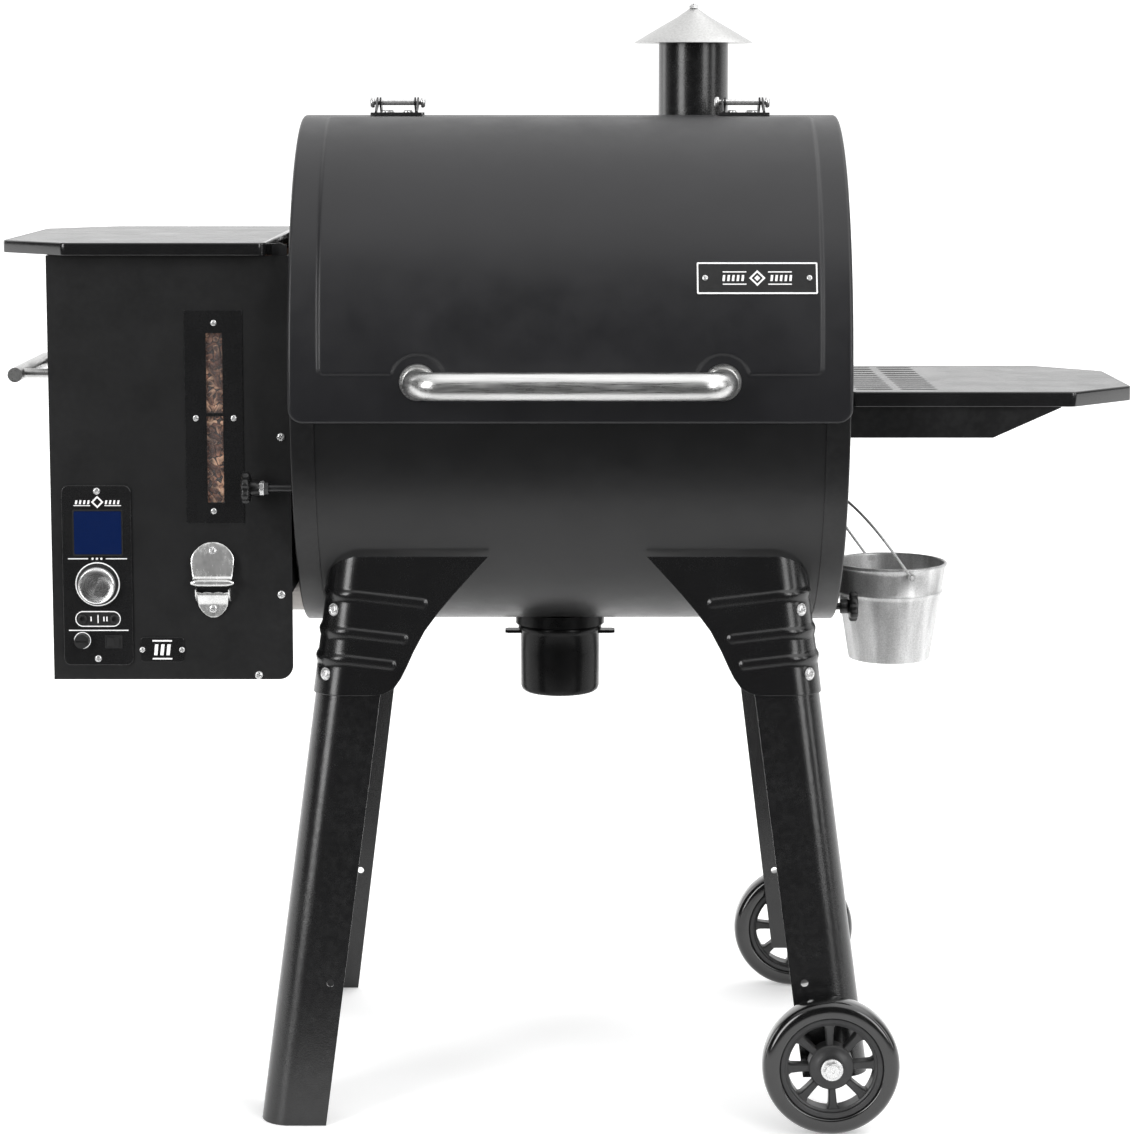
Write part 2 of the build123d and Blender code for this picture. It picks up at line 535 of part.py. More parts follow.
with BuildPart() as fan_impeller:
    rod(side_plane(-394), FAN_Y, FAN_Z, 48, 2)
    rod(side_plane(-426), FAN_Y, FAN_Z, 10, 33)
    rod(side_plane(-394), FAN_Y, FAN_Z, 4, 9)
    for blade in range(12):
        angle = radians(blade * 30)
        vane_y = FAN_Y + 38 * cos(angle)
        vane_z = FAN_Z + 38 * sin(angle)
        with BuildSketch(side_plane(-424)) as vane:
            with Locations(Location((vane_y, vane_z), blade * 30 + 25)):
                Rectangle(16, 1.6)
        extrude(vane.sketch, amount=31)
fan_impeller.part.label = "fan_impeller"
export_step(fan_impeller.part, "parts/fan_impeller.step")

with BuildPart() as burn_pot:
    pipe(floor_plane(569.5), POT_X, 0, POT_R, POT_R - 3, 72)
    rod(side_plane(POT_X - POT_R - 6), 0, AUGER_Z, 21, 14, Mode.SUBTRACT)
    rod(front_plane(POT_R + 6), POT_X, 612, 4.8, 14, Mode.SUBTRACT)
burn_pot.part.label = "burn_pot"
export_step(burn_pot.part, "parts/burn_pot.step")

with BuildPart() as igniter_rod:
    rod(front_plane(POT_R + 60), POT_X, 612, 4.8, 68)
igniter_rod.part.label = "igniter_rod"
export_step(igniter_rod.part, "parts/igniter_rod.step")

with BuildPart() as heat_deflector:
    block((-105, 81), (-85, 85), (688, 691))
    for wall_x in (-105, 78):
        block((wall_x, wall_x + 3), (-85, 85), (540, 688))
    block((-110, -90), (-30, 30), (560, 625), Mode.SUBTRACT)
    block((-120, 100), (-99, -60), (540, 580), Mode.SUBTRACT)
    block((60, 100), (-99, 50), (540, 580), Mode.SUBTRACT)
    with BuildSketch(side_plane(-200)) as inside:
        with Locations((0, AXIS_Z)):
            Ellipse(BARREL_A - BARREL_T, BARREL_B - BARREL_T)
    extrude(inside.sketch, amount=400, mode=Mode.INTERSECT)
heat_deflector.part.label = "heat_deflector"
export_step(heat_deflector.part, "parts/heat_deflector.step")

with BuildPart() as grease_tray:
    block((-300, 300), (-226, 226), (734, 750))
    block((-298, 298), (-224, 224), (736, 755), Mode.SUBTRACT)
    block((-80, 80), (-55, 55), (730, 740), Mode.SUBTRACT)
grease_tray.part.label = "grease_tray"
export_step(grease_tray.part, "parts/grease_tray.step")

GRATE_Z = 792.0
with BuildPart() as cooking_grate:
    for bar_y in (-236, -80, 76, 230):
        block((-300, 300), (bar_y, bar_y + 6), (GRATE_Z, GRATE_Z + 6))
    for bar in range(31):
        bar_x = -300 + bar * 19.8
        block((bar_x, bar_x + 6), (-236, 236), (GRATE_Z + 2, GRATE_Z + 8))
    block((-303, 303), (-239, -235), (GRATE_Z, GRATE_Z + 8))
    block((-303, 303), (235, 239), (GRATE_Z, GRATE_Z + 8))
cooking_grate.part.label = "cooking_grate"
export_step(cooking_grate.part, "parts/cooking_grate.step")

with BuildPart() as warming_rack:
    for bar in range(13):
        bar_y = 20 + bar * 12.5
        rod(side_plane(-307.5), bar_y, 962, 2.5, 615)
    for bar_x in (-280, -95, 95, 280):
        block((bar_x - 2.5, bar_x + 2.5), (18, 172), (958, 962))
warming_rack.part.label = "warming_rack"
export_step(warming_rack.part, "parts/warming_rack.step")

with BuildPart() as temperature_probe:
    rod(side_plane(-CAP_X + CAP_T), -60, 900, 3, 45)
    rod(side_plane(-CAP_X + CAP_T), -60, 900, 9, 4)
temperature_probe.part.label = "temperature_probe"
export_step(temperature_probe.part, "parts/temperature_probe.step")

# ---------------------------------------------------------------- pull rods with lobed knobs
def lobed_knob(x, y, z, length):
    """A six-lobed knob that starts at x and runs to the right."""
    rod(side_plane(x), y, z, 15, length)
    with BuildSketch(side_plane(x)) as lobes:
        with Locations((y, z)):
            with PolarLocations(13.4, 6):
                Circle(4.4)
    extrude(lobes.sketch, amount=length)


with BuildPart() as slide_rod:
    rod(side_plane(-357.5), SLIDE_Y, SLIDE_Z, 4, 357.5 + 60)
    hexagon(side_plane(-344), SLIDE_Y, SLIDE_Z, 7.5, 6)
    block((-80, 80), (SLIDE_Y - 2, 60), (SLIDE_Z + 5.2, SLIDE_Z + 8))
    block((-80, 60), (SLIDE_Y - 2, SLIDE_Y + 2), (SLIDE_Z, SLIDE_Z + 8))
slide_rod.part.label = "slide_rod"
export_step(slide_rod.part, "parts/slide_rod.step")

with BuildPart() as slide_knob:
    lobed_knob(-368.3, SLIDE_Y, SLIDE_Z, 10.6)
    rod(side_plane(-357.7), SLIDE_Y, SLIDE_Z, 8.5, 10.6)
    rod(side_plane(-357.5), SLIDE_Y, SLIDE_Z, 4, 20, Mode.SUBTRACT)
slide_knob.part.label = "slide_knob"
export_step(slide_knob.part, "parts/slide_knob.step")

with BuildPart() as ash_rod:
    rod(side_plane(-40), ASH_Y, ASH_Z, 4, 366)
    block((-60, 36), (ASH_Y, 44), (ASH_Z - 1.5, ASH_Z + 1.5))
ash_rod.part.label = "ash_rod"
export_step(ash_rod.part, "parts/ash_rod.step")

with BuildPart() as ash_knob:
    lobed_knob(326.2, ASH_Y, ASH_Z, 10.4)
    rod(side_plane(315.8), ASH_Y, ASH_Z, 8.5, 10.4)
    rod(side_plane(315), ASH_Y, ASH_Z, 4, 11, Mode.SUBTRACT)
ash_knob.part.label = "ash_knob"
export_step(ash_knob.part, "parts/ash_knob.step")

# ---------------------------------------------------------------- ash cup
with BuildPart() as ash_collar:
    rod(floor_plane(532.8), POT_X, 0, 53, 14)
    rod(floor_plane(512), POT_X, 0, 43, 30)
    rod(floor_plane(500), POT_X, 0, 40, 60, Mode.SUBTRACT)
    oval((-CAP_X, CAP_X), BARREL_A, BARREL_B, Mode.SUBTRACT)
ash_collar.part.label = "ash_collar"
export_step(ash_collar.part, "parts/ash_collar.step")

with BuildPart() as ash_cup:
    rod(floor_plane(449.5), POT_X, 0, 47, 82.8)
    fillet(ash_cup.faces().sort_by(Axis.Z)[0].edges(), 6)
    rod(floor_plane(526.3), POT_X, 0, 50, 6)
    rod(floor_plane(452), POT_X, 0, 44, 90, Mode.SUBTRACT)
    for side in (-1, 1):
        wing = sorted((POT_X + side * 46, POT_X + side * 66))
        block(wing, (-9, 9), (520.5, 524.5))
ash_cup.part.label = "ash_cup"
export_step(ash_cup.part, "parts/ash_cup.step")

# ---------------------------------------------------------------- side shelf
with BuildPart() as side_shelf:
    shelf_outline = ((SHELF_X[0], -SHELF_Y), (SHELF_X[1] - SHELF_CHAMFER[0], -SHELF_Y),
                     (SHELF_X[1], -SHELF_Y + SHELF_CHAMFER[1]), (SHELF_X[1], SHELF_Y - SHELF_CHAMFER[1]),
                     (SHELF_X[1] - SHELF_CHAMFER[0], SHELF_Y), (SHELF_X[0], SHELF_Y))
    plate(floor_plane(SHELF_Z[0]), shelf_outline, SHELF_Z[1] - SHELF_Z[0])
    corner_edges = side_shelf.edges().filter_by(Axis.Z).group_by(Axis.X)
    fillet(corner_edges[-1] + corner_edges[-2], 12)
    fillet(side_shelf.faces().sort_by(Axis.Z)[-1].edges(), 2.4)
    with BuildSketch(floor_plane(SHELF_Z[0])) as pan:
        with BuildLine():
            Polyline(*shelf_outline, close=True)
        make_face()
        offset(amount=-SHEET, kind=Kind.INTERSECTION, mode=Mode.REPLACE)
        fillet(pan.vertices().group_by(Axis.X)[-1] + pan.vertices().group_by(Axis.X)[-2], 10)
    extrude(pan.sketch, amount=SHELF_Z[1] - SHELF_Z[0] - SHEET, mode=Mode.SUBTRACT)
    with BuildSketch(floor_plane(SHELF_Z[0])) as slots:
        for slot_x in (348, 399):
            with Locations((slot_x, 0)):
                with GridLocations(1, 24, 1, 12):
                    SlotOverall(43, 9)
    extrude(slots.sketch, amount=30, mode=Mode.SUBTRACT)
side_shelf.part.label = "side_shelf"
export_step(side_shelf.part, "parts/side_shelf.step")

with BuildPart() as shelf_brackets:
    arm = ((CAP_X, 773.5), (481, 773.5), (558, 808), (558, SHELF_Z[0]), (316, SHELF_Z[0]), (316, 797),
           (CAP_X, 797))
    for arm_y in (-156, 158.5):
        plate(front_plane(arm_y), arm, 2.5)
    for flange_y in ((-156, -130), (130, 156)):
        block((CAP_X, CAP_X + 2.5), flange_y, (773.5, 797))
shelf_brackets.part.label = "shelf_brackets"
export_step(shelf_brackets.part, "parts/shelf_brackets.step")

# ---------------------------------------------------------------- grease spout, bucket and bail
with BuildPart() as grease_spout:
    pipe(side_plane(CAP_X - 6), 0, 619, 8, 6.4, 17.5)
    rod(side_plane(CAP_X), 0, 619, 14, 1.6)
    rod(side_plane(CAP_X), 0, 619, 6.4, 2, Mode.SUBTRACT)
    rod(side_plane(CAP_X), 0, PEG_Z, 3, 11)
    rod(side_plane(CAP_X + 9), 0, PEG_Z, 3.5, 2)
    hexagon(side_plane(CAP_X), -60, 660, 6, 5)
    hexagon(side_plane(CAP_X), -60, 962, 6, 5)
grease_spout.part.label = "grease_spout"
export_step(grease_spout.part, "parts/grease_spout.step")

bucket_plane = Plane(origin=(BUCKET_X, AXIS_Y, 0), x_dir=(1, 0, 0), z_dir=(0, -1, 0))
bucket_axis = Axis((BUCKET_X, AXIS_Y, 0), (0, 0, 1))
ear_x_dir = (cos(radians(EAR_TURN)), sin(radians(EAR_TURN)), 0)
ear_out = Vector(sin(radians(EAR_TURN)), -cos(radians(EAR_TURN)), 0)


def ear_plane(distance):
    """Plane across the bail's pivot line, at a distance from the bucket's axis to the front."""
    origin = Vector(BUCKET_X, AXIS_Y, EAR_Z) + ear_out * distance
    return Plane(origin=origin, x_dir=ear_x_dir, z_dir=ear_out)


with BuildPart() as grease_bucket:
    low_z, rim_z = BUCKET_Z
    low_r, rim_r = BUCKET_R
    bead_z = 572.0
    bead_r = low_r + (rim_r - low_r) * (bead_z - low_z) / (rim_z - low_z)
    with BuildSketch(bucket_plane):
        with BuildLine():
            Polyline((0, low_z + 2), (low_r - 1.4, low_z + 2), (rim_r - 3, rim_z), (rim_r, rim_z),
                     (rim_r, rim_z - 3), (rim_r - 2, rim_z - 4), (bead_r + 1.8, bead_z + 2),
                     (bead_r + 1.8, bead_z - 2), (low_r + 1.2, low_z + 2), (low_r, low_z),
                     (0, low_z), close=True)
        make_face()
    revolve(axis=bucket_axis)
    for way in (-1, 1):
        reach = sorted((way * (rim_r - 4), way * 75))
        rod(ear_plane(reach[0]), 0, 0, 1.5, reach[1] - reach[0])
grease_bucket.part.label = "grease_bucket"
export_step(grease_bucket.part, "parts/grease_bucket.step")

WIRE_R = 1.6
lean = radians(BAIL_LEAN)
bail_up = Vector(-ear_x_dir[0] * sin(lean), -ear_x_dir[1] * sin(lean), cos(lean))
bail_plane = Plane(origin=(BUCKET_X, AXIS_Y, EAR_Z), x_dir=ear_out, z_dir=ear_out.cross(bail_up))
with BuildPart() as bucket_bail:
    with BuildLine(bail_plane) as bail_path:
        FilletPolyline((BAIL_W, 3.2), (BAIL_W, BAIL_H), (-BAIL_W, BAIL_H), (-BAIL_W, 3.2), radius=70)
    wire_end = Plane(origin=bail_path.line @ 0, z_dir=bail_path.line % 0)
    with BuildSketch(wire_end) as wire:
        Circle(WIRE_R)
    sweep(wire.sketch, path=bail_path.line)
    for way in (-1, 1):
        eye = way * BAIL_W - 2
        rod(ear_plane(eye), 0, 0, 4.6, 4)
        rod(ear_plane(eye), 0, 0, 1.5 + RUN, 4, Mode.SUBTRACT)
bucket_bail.part.label = "bucket_bail"
export_step(bucket_bail.part, "parts/bucket_bail.step")

# ---------------------------------------------------------------- legs and their brackets
CORNERS = {"front_left": (-1, -1), "front_right": (1, -1), "rear_left": (-1, 1), "rear_right": (1, 1)}
RIGHT_LEG_END = 55.0
LEG_TOP = 600.0
RIBS = ((594.0, 128.0, 70.0), (555.0, 108.0, 62.0), (523.0, 96.0, 55.0))
RIB_HEIGHT = 12.0
RIB_PROUD = 3.0
BOLTS_Z = (582.8, 510.3)
BOLT_HEAD_R = 6.0
BOLT_SEAT = 1.0           # how deep a bolt head sits in the bracket's rounded corner
BOLT_TURN = 40.0          # degrees from straight ahead that the bolts face


def corner_sheet(sx, sy, z, grow, widths, thickness, radius, height):
    """An L-shaped sheet around a leg's outer corner, leaning with the leg."""
    out_x = LEG_MID + sx * (FOOT_X + grow - LEAN_X * z)
    out_y = sy * (FOOT_Y + grow - LEAN_Y * z)
    far_x = out_x - sx * widths[0]
    far_y = out_y - sy * widths[1]
    in_x = out_x - sx * thickness
    in_y = out_y - sy * thickness
    with BuildSketch(floor_plane(z)) as profile:
        with BuildLine():
            Polyline((out_x, out_y), (far_x, out_y), (far_x, in_y), (in_x, in_y), (in_x, far_y),
                     (out_x, far_y), close=True)
        make_face()
        fillet(profile.vertices().sort_by_distance(Vector(out_x, out_y))[0], radius)
        fillet(profile.vertices().sort_by_distance(Vector(in_x, in_y))[0], radius - thickness)
    slant = hypot(1, LEAN_X, LEAN_Y)
    extrude(profile.sketch, amount=height * slant, dir=(-sx * LEAN_X, -sy * LEAN_Y, 1))


def leg_face_plane(sy, x, z, proud):
    """Plane lying on the front or rear face of a leg, facing out."""
    tilt = atan2(LEAN_Y, 1)
    face_y = sy * (FOOT_Y + proud - LEAN_Y * z)
    return Plane(origin=(x, AXIS_Y + face_y, z), x_dir=(1, 0, 0), z_dir=(0, sy * cos(tilt), sin(tilt)))


def bolt_plane(sx, sy, z):
    """Plane touching a bracket's rounded corner at a bolt, facing out."""
    radius = LEG_R + BRACKET_T
    turn = radians(BOLT_TURN)
    x = sx * (FOOT_X + BRACKET_T - radius * (1 - sin(turn)) - LEAN_X * z)
    y = sy * (FOOT_Y + BRACKET_T - radius * (1 - cos(turn)) - LEAN_Y * z)
    out = (sx * sin(turn), sy * cos(turn), 0.5 * (LEAN_X + LEAN_Y))
    return Plane(origin=(LEG_MID + x, AXIS_Y + y, z), x_dir=(0, 0, 1), z_dir=out)


def drill(plane, radius):
    """A hole square to a plane."""
    with BuildSketch(plane) as mark:
        Circle(radius)
    extrude(mark.sketch, amount=20, both=True, mode=Mode.SUBTRACT)


for corner, (sx, sy) in CORNERS.items():
    with BuildPart() as leg:
        foot_z = 0 if sx < 0 else RIGHT_LEG_END
        corner_sheet(sx, sy, foot_z, 0, LEG_W, LEG_T, LEG_R, LEG_TOP - foot_z)
        barrel_envelope()
        drill(leg_face_plane(sy, LEG_MID + sx * 268.5, 162, BRACKET_T), 4.3)
        if sx > 0:
            rod(front_plane(300), WHEEL_X, WHEEL_R, AXLE_R, 600, Mode.SUBTRACT)
        for bolt_z in BOLTS_Z:
            drill(bolt_plane(sx, sy, bolt_z), 3.3)
    leg.part.label = f"leg_{corner}"
    export_step(leg.part, f"parts/leg_{corner}.step")

    with BuildPart() as leg_bracket:
        low_z, top_z = BRACKET_Z
        corner_sheet(sx, sy, low_z, BRACKET_T, (206, 112), BRACKET_T, LEG_R + BRACKET_T, top_z - low_z)
        gusset = ((-296, low_z - 3), (-210, low_z - 3), (-199, 497), (-188, 509), (-178, 534), (-169, 552),
                  (-153, 575), (-122, 613), (-93.5, top_z), (-241, top_z), (-257, 638), (-269, 624),
                  (-278, 600), (-296, 560))
        with BuildSketch(front_plane(400)) as front_view:
            with BuildLine():
                Polyline(*[(LEG_MID - sx * x, z) for x, z in gusset], close=True)
            make_face()
        extrude(front_view.sketch, amount=800, mode=Mode.INTERSECT)
        for rib_z, reach_x, reach_y in RIBS:
            corner_sheet(sx, sy, rib_z - RIB_HEIGHT / 2, BRACKET_T + RIB_PROUD, (reach_x, reach_y),
                         RIB_PROUD, LEG_R + BRACKET_T + RIB_PROUD, RIB_HEIGHT)
        barrel_envelope()
        for bolt_z in BOLTS_Z:
            drill(bolt_plane(sx, sy, bolt_z), 3.3)
            with BuildSketch(bolt_plane(sx, sy, bolt_z)) as seat:
                Circle(BOLT_HEAD_R)
            extrude(seat.sketch, amount=-BOLT_SEAT, mode=Mode.SUBTRACT)
            extrude(seat.sketch, amount=6, mode=Mode.SUBTRACT)
    leg_bracket.part.label = f"leg_bracket_{corner}"
    export_step(leg_bracket.part, f"parts/leg_bracket_{corner}.step")

with BuildPart() as bolts_and_axles:
    for sx, sy in CORNERS.values():
        for bolt_z in BOLTS_Z:
            with BuildSketch(bolt_plane(sx, sy, bolt_z)) as shank:
                Circle(3.3)
            extrude(shank.sketch, amount=-14)
            with BuildSketch(bolt_plane(sx, sy, bolt_z)) as head:
                Circle(BOLT_HEAD_R)
            extrude(head.sketch, amount=2.6)
            extrude(head.sketch, amount=-BOLT_SEAT)
    for sy in (-1, 1):
        rod(front_plane(sy * 240), WHEEL_X, WHEEL_R, AXLE_R, -sy * 60)
        hexagon(front_plane(sy * (WHEEL_Y[1] + 0.4)), WHEEL_X, WHEEL_R, 10.5, -sy * 7.6)
        rod(front_plane(sy * 257), WHEEL_X, WHEEL_R, 11, -sy * 5)
        hexagon(front_plane(sy * 243), WHEEL_X, WHEEL_R, 10.5, -sy * 7.5)
bolts_and_axles.part.label = "bolts_and_axles"
export_step(bolts_and_axles.part, "parts/bolts_and_axles.step")

# ---------------------------------------------------------------- wheels
for sy, place in ((-1, "front"), (1, "rear")):
    inner_y, outer_y = WHEEL_Y
    width = outer_y - inner_y
    middle = sy * (inner_y + outer_y) / 2
    with BuildPart() as tyre:
        with BuildSketch(Plane(origin=(WHEEL_X, AXIS_Y + middle, WHEEL_R), x_dir=(1, 0, 0))) as section:
            with Locations(((HUB_R + WHEEL_R) / 2, 0)):
                Rectangle(WHEEL_R - HUB_R, width)
            fillet(section.vertices().group_by(Axis.X)[-1], 8)
        revolve(axis=Axis((WHEEL_X, AXIS_Y, WHEEL_R), (0, 1, 0)))
    tyre.part.label = f"{place}_tyre"
    export_step(tyre.part, f"parts/{place}_tyre.step")

    with BuildPart() as hub:
        with BuildSketch(front_plane(middle)) as rim_ring:
            with Locations((WHEEL_X, WHEEL_R)):
                Circle(HUB_R)
                Circle(HUB_R - 9, mode=Mode.SUBTRACT)
        extrude(rim_ring.sketch, amount=width / 2 - 3, both=True)
        with BuildSketch(front_plane(middle)) as web:
            with Locations((WHEEL_X, WHEEL_R)):
                Circle(HUB_R - 4)
                Circle(24, mode=Mode.SUBTRACT)
                with PolarLocations(35, 8, start_angle=22.5):
                    Trapezoid(22, 22, 68, rotation=90, mode=Mode.SUBTRACT)
        extrude(web.sketch, amount=8, both=True)
        with BuildSketch(front_plane(middle)) as boss:
            with Locations((WHEEL_X, WHEEL_R)):
                Circle(26)
                Circle(AXLE_R + RUN, mode=Mode.SUBTRACT)
        extrude(boss.sketch, amount=11, both=True)
        with BuildSketch(front_plane(middle)) as sleeve:
            with Locations((WHEEL_X, WHEEL_R)):
                Circle(13)
                Circle(AXLE_R + RUN, mode=Mode.SUBTRACT)
        extrude(sleeve.sketch, amount=width / 2, both=True)
    hub.part.label = f"{place}_hub"
    export_step(hub.part, f"parts/{place}_hub.step")
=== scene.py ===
"""Looks for the pellet smoker grill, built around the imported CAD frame."""
import json
import random
from math import atan2, cos, hypot, pi, radians, sin, sqrt, tau

import bmesh
import bpy
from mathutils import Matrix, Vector


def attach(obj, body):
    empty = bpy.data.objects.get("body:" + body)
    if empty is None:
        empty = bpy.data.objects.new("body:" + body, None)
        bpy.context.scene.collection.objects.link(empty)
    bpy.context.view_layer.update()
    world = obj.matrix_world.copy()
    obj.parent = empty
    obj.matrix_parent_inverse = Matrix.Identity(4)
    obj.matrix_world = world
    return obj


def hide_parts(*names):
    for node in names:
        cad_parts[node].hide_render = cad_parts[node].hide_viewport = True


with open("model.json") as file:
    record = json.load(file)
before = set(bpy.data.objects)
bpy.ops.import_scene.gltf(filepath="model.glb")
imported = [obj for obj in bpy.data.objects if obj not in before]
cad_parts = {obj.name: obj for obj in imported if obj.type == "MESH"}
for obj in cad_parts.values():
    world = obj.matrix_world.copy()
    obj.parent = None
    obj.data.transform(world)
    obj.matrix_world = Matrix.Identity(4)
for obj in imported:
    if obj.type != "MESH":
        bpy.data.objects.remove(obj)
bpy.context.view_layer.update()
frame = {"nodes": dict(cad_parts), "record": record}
NODES = frame["nodes"]

# ---------------------------------------------------------------- the part's own dimensions, in mm
AXIS_Y = 10.75            # every y given to row() is measured from the barrel's axis
AXIS_Z = 838.0
LID_A, LID_B, LID_X = 262.5, 300.0, 312.0
LID_BACK_Y = 2.0
BARREL_A, BARREL_B = 258.5, 296.0
HOPPER_Y = -190.0
PLATE_Y = -192.5


def row(x, y, z):
    """A point in the row frame, in metres, from millimetres measured about the barrel's axis."""
    return Vector((x, y + AXIS_Y, z)) / 1000


def smooth01(t):
    t = min(1.0, max(0.0, t))
    return t * t * (3 - 2 * t)


# ---------------------------------------------------------------- node materials
def calc(tree, operation, a, b=0.0):
    """A maths node on two sockets or numbers."""
    node = tree.nodes.new("ShaderNodeMath")
    node.operation = operation
    for slot, value in zip(node.inputs, (a, b)):
        if isinstance(value, (int, float)):
            slot.default_value = value
        else:
            tree.links.new(value, slot)
    return node.outputs["Value"]


class Shader:
    """Small helper that wires up one material's node tree."""

    def __init__(self, name):
        self.material = bpy.data.materials.new(name)
        self.material.use_nodes = True
        self.tree = self.material.node_tree
        self.nodes = self.tree.nodes
        self.links = self.tree.links
        self.bsdf = next(n for n in self.nodes if n.type == "BSDF_PRINCIPLED")
        self.coords = None

    def place(self, scale=(1, 1, 1)):
        """Object coordinates, stretched by scale. Every object sits at the row's origin, in metres."""
        if self.coords is None:
            self.coords = self.nodes.new("ShaderNodeTexCoord")
        mapping = self.nodes.new("ShaderNodeMapping")
        mapping.inputs["Scale"].default_value = scale
        self.links.new(self.coords.outputs["Object"], mapping.inputs["Vector"])
        return mapping.outputs["Vector"]

    def noise(self, scale, detail=2.0, rough=0.5, stretch=(1, 1, 1), distortion=0.0):
        node = self.nodes.new("ShaderNodeTexNoise")
        node.inputs["Scale"].default_value = scale
        node.inputs["Detail"].default_value = detail
        node.inputs["Roughness"].default_value = rough
        node.inputs["Distortion"].default_value = distortion
        self.links.new(self.place(stretch), node.inputs["Vector"])
        return node.outputs["Fac"]

    def cells(self, scale):
        node = self.nodes.new("ShaderNodeTexVoronoi")
        node.inputs["Scale"].default_value = scale
        self.links.new(self.place(), node.inputs["Vector"])
        return node.outputs["Distance"]

    def spread(self, value, low, high, start=0.3, end=0.7):
        """Maps a value in start..end to low..high."""
        node = self.nodes.new("ShaderNodeMapRange")
        node.inputs["From Min"].default_value = start
        node.inputs["From Max"].default_value = end
        node.inputs["To Min"].default_value = low
        node.inputs["To Max"].default_value = high
        self.links.new(value, node.inputs["Value"])
        return node.outputs["Result"]

    def maths(self, operation, a, b):
        return calc(self.tree, operation, a, b)

    def ramp(self, value, *stops):
        """Colours along a value: stops are (position, colour)."""
        node = self.nodes.new("ShaderNodeValToRGB")
        elements = node.color_ramp.elements
        while len(elements) < len(stops):
            elements.new(0.5)
        for element, (position, colour) in zip(elements, stops):
            element.position = position
            element.color = (*colour, 1)
        self.links.new(value, node.inputs["Fac"])
        return node.outputs["Color"]

    def bump(self, height, strength, distance):
        """Adds a height to the shader's normal, on top of earlier ones."""
        node = self.nodes.new("ShaderNodeBump")
        node.inputs["Strength"].default_value = strength
        node.inputs["Distance"].default_value = distance
        self.links.new(height, node.inputs["Height"])
        earlier = self.bsdf.inputs["Normal"].links
        if earlier:
            self.links.new(earlier[0].from_socket, node.inputs["Normal"])
        self.links.new(node.outputs["Normal"], self.bsdf.inputs["Normal"])

    def edge_wear(self, amount, low=0.5, high=0.62):
        """Lightness where the surface is sharply convex, broken up by a noise."""
        geometry = self.nodes.new("ShaderNodeNewGeometry")
        convex = self.spread(geometry.outputs["Pointiness"], 0, 1, low, high)
        broken = self.spread(self.noise(140, 4), 0, 1, 0.42, 0.62)
        return self.maths("MULTIPLY", self.maths("MULTIPLY", convex, broken), amount)

    def mix(self, factor, a, b):
        node = self.nodes.new("ShaderNodeMix")
        node.data_type = "RGBA"
        self.links.new(factor, node.inputs[0])
        for slot, value in zip((node.inputs[6], node.inputs[7]), (a, b)):
            if isinstance(value, tuple):
                slot.default_value = (*value, 1)
            else:
                self.links.new(value, slot)
        return node.outputs[2]

    def drive(self, **sockets):
        """Links or sets the principled shader's sockets; underscores stand for spaces."""
        for key, value in sockets.items():
            socket = self.bsdf.inputs[key.replace("_", " ")]
            if isinstance(value, (int, float, tuple)):
                socket.default_value = value
            else:
                self.links.new(value, socket)
        return self


def grey(value, tint=0.0):
    return (value, value, value * (1 + tint))


def coated(name, base, rough, grain=900.0, grain_bump=0.12, coat=0.0, coat_rough=0.2, tint=0.05,
           spots=0.0, wear=0.02, specular=0.5):
    """Painted steel: a slightly mottled colour, fine orange peel, faint dust and lighter edges."""
    s = Shader(name)
    mottle = s.noise(9, 3)
    colour = s.ramp(mottle, (0.3, grey(base * 0.85, tint)), (0.7, grey(base * 1.15, tint)))
    colour = s.mix(s.edge_wear(wear), colour, grey(0.3))
    if spots:
        speck = s.spread(s.cells(420), 1, 0, 0.05, 0.22)
        colour = s.mix(s.maths("MULTIPLY", speck, spots), colour, grey(base * 5 + 0.02))
    smudge = s.spread(s.noise(22, 4, 0.6), rough - 0.035, rough + 0.05)
    fine = s.spread(s.noise(grain * 1.3, 2), -0.03, 0.03)
    s.bump(s.noise(grain, 2), grain_bump, 0.0004)
    s.bump(s.noise(170, 2), 0.03, 0.001)
    s.drive(Base_Color=colour, Roughness=s.maths("ADD", smudge, fine), Coat_Weight=coat,
            Coat_Roughness=coat_rough, Specular_IOR_Level=specular)
    return s.material


def brushed(name, base, rough, along, grain=1.0, tint=-0.01, metallic=1.0, bump=0.08):
    """Brushed steel with streaks along one axis: along is the mapping that stretches the noise."""
    s = Shader(name)
    streak = s.noise(900 * grain, 3, 0.6, along)
    broad = s.noise(160 * grain, 2, 0.5, along)
    colour = s.ramp(s.maths("MULTIPLY", s.maths("ADD", streak, broad), 0.5),
                    (0.35, grey(base * 0.82, tint)), (0.65, grey(min(1, base * 1.12), tint)))
    stain = s.spread(s.noise(30, 4, 0.6), -0.03, 0.05)
    s.bump(streak, bump, 0.0003)
    s.drive(Base_Color=colour, Metallic=metallic,
            Roughness=s.maths("ADD", s.spread(streak, rough - 0.08, rough + 0.1), stain))
    return s.material


